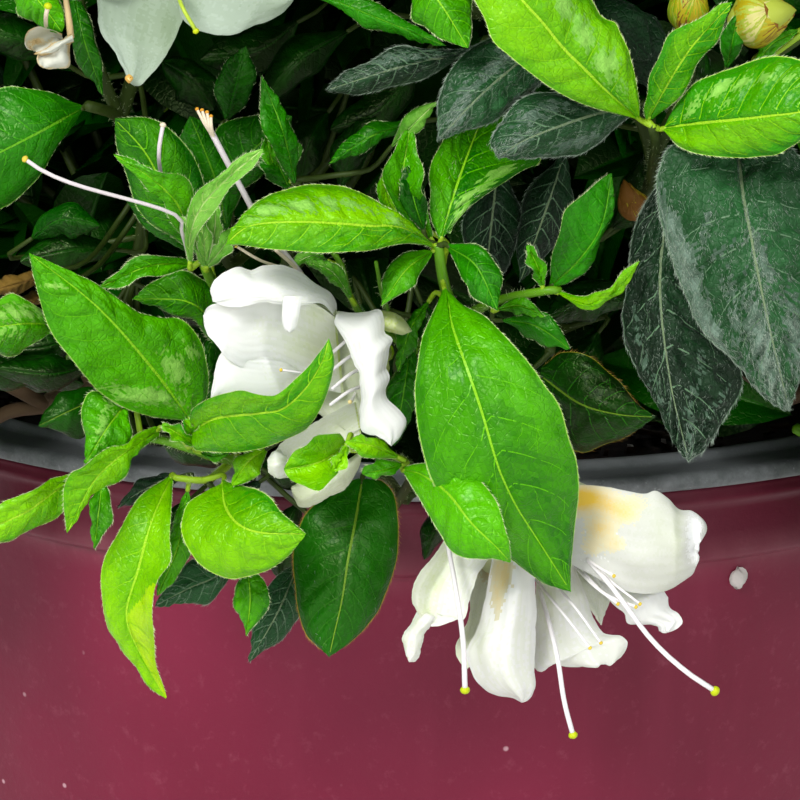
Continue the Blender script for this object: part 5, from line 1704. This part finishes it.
def lip_material():
    """Worn black plastic, greyed by dust where it is level."""
    m, nt, b = shader("pot_black")
    tc = node(nt, "ShaderNodeTexCoord").outputs["Object"]
    n1 = node(nt, "ShaderNodeTexNoise", Scale=120.0, Detail=6.0, Roughness=0.7)
    n2 = node(nt, "ShaderNodeTexNoise", Scale=900.0, Detail=3.0, Roughness=0.7)
    nt.links.new(tc, n1.inputs["Vector"])
    nt.links.new(tc, n2.inputs["Vector"])
    c = mix(nt, ramp(nt, n1.outputs["Fac"], [(0.4, 0.0), (0.75, 1.0)]), linear((86, 91, 92)), linear((128, 134, 136)))
    c = mix(nt, ramp(nt, n2.outputs["Fac"], [(0.62, 0.0), (0.78, 0.6)]), c, linear((184, 188, 190)))
    part = node(nt, "ShaderNodeSeparateXYZ")
    nt.links.new(tc, part.inputs["Vector"])
    flat = node(nt, "ShaderNodeCombineXYZ")
    chain(nt, (part.outputs["X"], flat.inputs["X"]), (part.outputs["Y"], flat.inputs["Y"]))
    away = node(nt, "ShaderNodeVectorMath", operation="LENGTH")
    nt.links.new(flat.outputs["Vector"], away.inputs[0])
    rim = node(nt, "ShaderNodeMath", operation="MULTIPLY")
    chain(nt, (ramp(nt, away.outputs["Value"], [(0.1378, 0.0), (0.139, 0.8)]), rim.inputs[0]),
          (ramp(nt, part.outputs["Z"], [(0.2378, 0.0), (0.2388, 1.0), (0.2397, 1.0), (0.2399, 0.2)]), rim.inputs[1]))
    worn = node(nt, "ShaderNodeMath", operation="MULTIPLY")
    chain(nt, (rim.outputs[0], worn.inputs[0]), (ramp(nt, n1.outputs["Fac"], [(0.36, 0.25), (0.6, 1.0)]), worn.inputs[1]))
    c = mix(nt, worn.outputs[0], c, linear((168, 171, 173)))
    level = node(nt, "ShaderNodeMath", operation="MULTIPLY")
    chain(nt, (ramp(nt, away.outputs["Value"], [(0.1374, 0.85), (0.1384, 0.0)]), level.inputs[0]),
          (ramp(nt, part.outputs["Z"], [(0.2388, 0.0), (0.2395, 1.0)]), level.inputs[1]))
    c = mix(nt, level.outputs[0], c, linear((148, 153, 155)))
    nt.links.new(c, b.inputs["Base Color"])
    nt.links.new(ramp(nt, n1.outputs["Fac"], [(0.35, 0.3), (0.7, 0.5)]), b.inputs["Roughness"])
    bmp = node(nt, "ShaderNodeBump", Strength=0.25, Distance=0.0005)
    nt.links.new(n2.outputs["Fac"], bmp.inputs["Height"])
    nt.links.new(bmp.outputs["Normal"], b.inputs["Normal"])
    return m


def soil_material():
    m, nt, b = shader("mix_brown")
    tc = node(nt, "ShaderNodeTexCoord").outputs["Object"]
    n1 = node(nt, "ShaderNodeTexNoise", Scale=130.0, Detail=8.0, Roughness=0.75)
    nt.links.new(tc, n1.inputs["Vector"])
    nt.links.new(
        ramp(nt, n1.outputs["Fac"], [(0.35, linear((18, 12, 8))), (0.55, linear((44, 28, 18))), (0.75, linear((84, 56, 34)))]),
        b.inputs["Base Color"],
    )
    b.inputs["Roughness"].default_value = 0.95
    bmp = node(nt, "ShaderNodeBump", Strength=0.8, Distance=0.002)
    nt.links.new(n1.outputs["Fac"], bmp.inputs["Height"])
    nt.links.new(bmp.outputs["Normal"], b.inputs["Normal"])
    return m


# the potting mix: a lumpy top, bark chips and grains of perlite on it
soil = Batch()
edge = LIP_IN - 2.2
ar = np.linspace(0, 2 * math.pi, 97)
rr = np.concatenate([[0.0], np.linspace(6, edge, 26)])
RR, AA = np.meshgrid(rr, ar, indexing="ij")
lump = 1.6 * np.sin(RR * 0.21 + 2 * np.cos(AA * 3)) * np.sin(AA * 5 + RR * 0.07) + rng.normal(0, 0.55, RR.shape)
lump[:, -1] = lump[:, 0]
lump[0] = 0
lump *= step(edge - RR, 0, 8)
soil.grid(np.stack([RR * np.cos(AA), RR * np.sin(AA), SOIL_Z - 1.5 + lump], -1), 0)
turned(soil, [(edge, SOIL_Z - 1.5), (edge - 0.3, 150), (wall_at(20) - 3.5, 20), (wall_at(3) - 6, 3.1), (0, 3.1)], 60, 0)
for k in range(900):
    rad, a = edge * math.sqrt(rng.random()) * 0.985, rng.random() * 6.283
    if rad < 14:
        continue
    c = np.array([rad * math.cos(a), rad * math.sin(a), SOIL_Z - 0.4 + rng.random() * 1.4])
    perlite = rng.random() < 0.12
    size = rng.uniform(1.0, 2.2) if perlite else rng.uniform(1.6, 5.5)
    size = min(size, edge - rad + 0.6)
    if size < 0.6:
        continue
    box = np.array([[x, y, z] for x in (-1, 1) for y in (-1, 1) for z in (-1, 1)], float)
    box *= np.array([1, 1, 1]) * 0.6 if perlite else np.array([1, 0.5, 0.22])
    box += (rng.random(box.shape) - 0.5) * 0.3
    th = rng.random() * 6.28
    tl = rng.normal(0, 0.3)
    R = np.array([[math.cos(th), -math.sin(th), 0], [math.sin(th), math.cos(th), 0], [0, 0, 1]]) @ np.array([[math.cos(tl), 0, math.sin(tl)], [0, 1, 0], [-math.sin(tl), 0, math.cos(tl)]])
    v = c + size * 0.5 * box @ R.T
    idx = np.array([[0, 1, 3], [0, 3, 2], [4, 6, 7], [4, 7, 5], [0, 4, 5], [0, 5, 1], [2, 3, 7], [2, 7, 6], [0, 2, 6], [0, 6, 4], [1, 5, 7], [1, 7, 3]])
    soil.tris(v, idx, 2 if perlite else 1)

# the pale grain stuck to the pot's side
grain = Batch()
g0 = at(738, 578, 100)
ray = unit(g0 - CAM)
for _ in range(200):
    g0 = g0 + ray * ((math.hypot(g0[0], g0[1]) - (wall_at(g0[2]) + 0.5)) * 0.5)
u, t = np.meshgrid(np.linspace(0.02, math.pi - 0.02, 9), np.linspace(0, 2 * math.pi, 13), indexing="ij")
k = 1 + 0.16 * np.sin(3 * t + 2 * u) + 0.1 * np.cos(5 * t)
k[:, -1] = k[:, 0]
grain.grid(g0 + np.stack([1.7 * k * np.sin(u) * np.cos(t), 1.2 * k * np.sin(u) * np.sin(t), 2.0 * k * np.cos(u)], -1), 0)

# ---------------------------------------------------------------------------------------------
# pieces
# ---------------------------------------------------------------------------------------------
CHIP = leafy("chip_bark", linear((66, 44, 26)), 0.85, bump=0.6, grain=400)
PERLITE = leafy("grain_perlite", linear((206, 200, 196)), 0.8, bump=0.5, grain=900)
foliage_nodes = ["foliage_" + m["tag"] for m in masses]
bough_nodes = ["bough_" + m["tag"] for m in masses]

piece("pot_wall", pot, [pot_material()], stands_for=["pot_shell"])
piece("pot_rolled_lip", lip, [lip_material()], stands_for=["pot_lip"])
piece("perlite_grain", grain, [PERLITE])
piece("potting_mix", soil, [soil_material(), CHIP, PERLITE], stands_for=["root_ball"])
piece("stem_and_boughs", bark, [wood_material()], stands_for=["stem", *bough_nodes])
piece("twigs", twigs, TWIG_MATS)
piece("leaves_front", near_leaves, LEAF_MATS, stands_for=foliage_nodes)
piece("leaves_front_old", near_dark, LEAF_MATS)
piece("leaf_veins", veins_b, LEAF_MATS)
piece("leaves_inside", inner_leaves, LEAF_MATS)
for i, b in enumerate(far_leaves):
    piece(f"leaves_crown_{'abc'[i]}", b, LEAF_MATS)
piece("leaf_hairs", hairs, HAIR_MATS)
piece("blossom_front", petals, PETAL_MATS)
piece("blossom_crown", far_flowers, PETAL_MATS)

# ---------------------------------------------------------------------------------------------
# floor, light and camera
# ---------------------------------------------------------------------------------------------
scene = bpy.context.scene
bpy.ops.mesh.primitive_plane_add(size=14, location=(0, 0, 0))
floor = bpy.context.object
floor.name = "floor"
fm, nt, b = shader("floor_pale")
b.inputs["Base Color"].default_value = (0.78, 0.77, 0.75, 1)
b.inputs["Roughness"].default_value = 0.9
floor.data.materials.append(fm)

world = bpy.data.worlds.new("studio")
scene.world = world
world.use_nodes = True
bg = world.node_tree.nodes["Background"]
bg.inputs["Color"].default_value = (0.92, 0.96, 1.0, 1)
bg.inputs["Strength"].default_value = 0.2


def area(name, place, target, size, power, colour=(1, 1, 1)):
    d = bpy.data.lights.new(name, "AREA")
    d.shape = "DISK"
    d.size = size
    d.energy = power
    d.color = colour
    o = bpy.data.objects.new(name, d)
    scene.collection.objects.link(o)
    o.location = place
    o.rotation_mode = "QUATERNION"
    o.rotation_quaternion = (Vector(target) - Vector(place)).to_track_quat("-Z", "Y")


area("key", (-0.75, -1.5, 1.5), (0, -0.1, 0.3), 0.75, 37, (1.0, 0.99, 0.97))
area("front", (0.25, -2.0, 0.75), (0, -0.1, 0.3), 1.3, 11)
area("fill", (1.5, -1.1, 0.9), (0, -0.05, 0.3), 1.1, 7)
area("back", (0.3, 1.7, 1.6), (0, 0, 0.35), 1.2, 24)

cam = bpy.data.cameras.new("camera")
cam.lens = LENS
cam.sensor_width = 36.0
cam.clip_start, cam.clip_end = 0.01, 50
co = bpy.data.objects.new("camera", cam)
scene.collection.objects.link(co)
co.location = Vector(CAM * MM)
co.rotation_mode = "QUATERNION"
co.rotation_quaternion = Vector(AHEAD).to_track_quat("-Z", "Y")
scene.camera = co
scene.view_settings.view_transform = "Standard"
scene.view_settings.look = "None"
scene.view_settings.exposure = 0.0
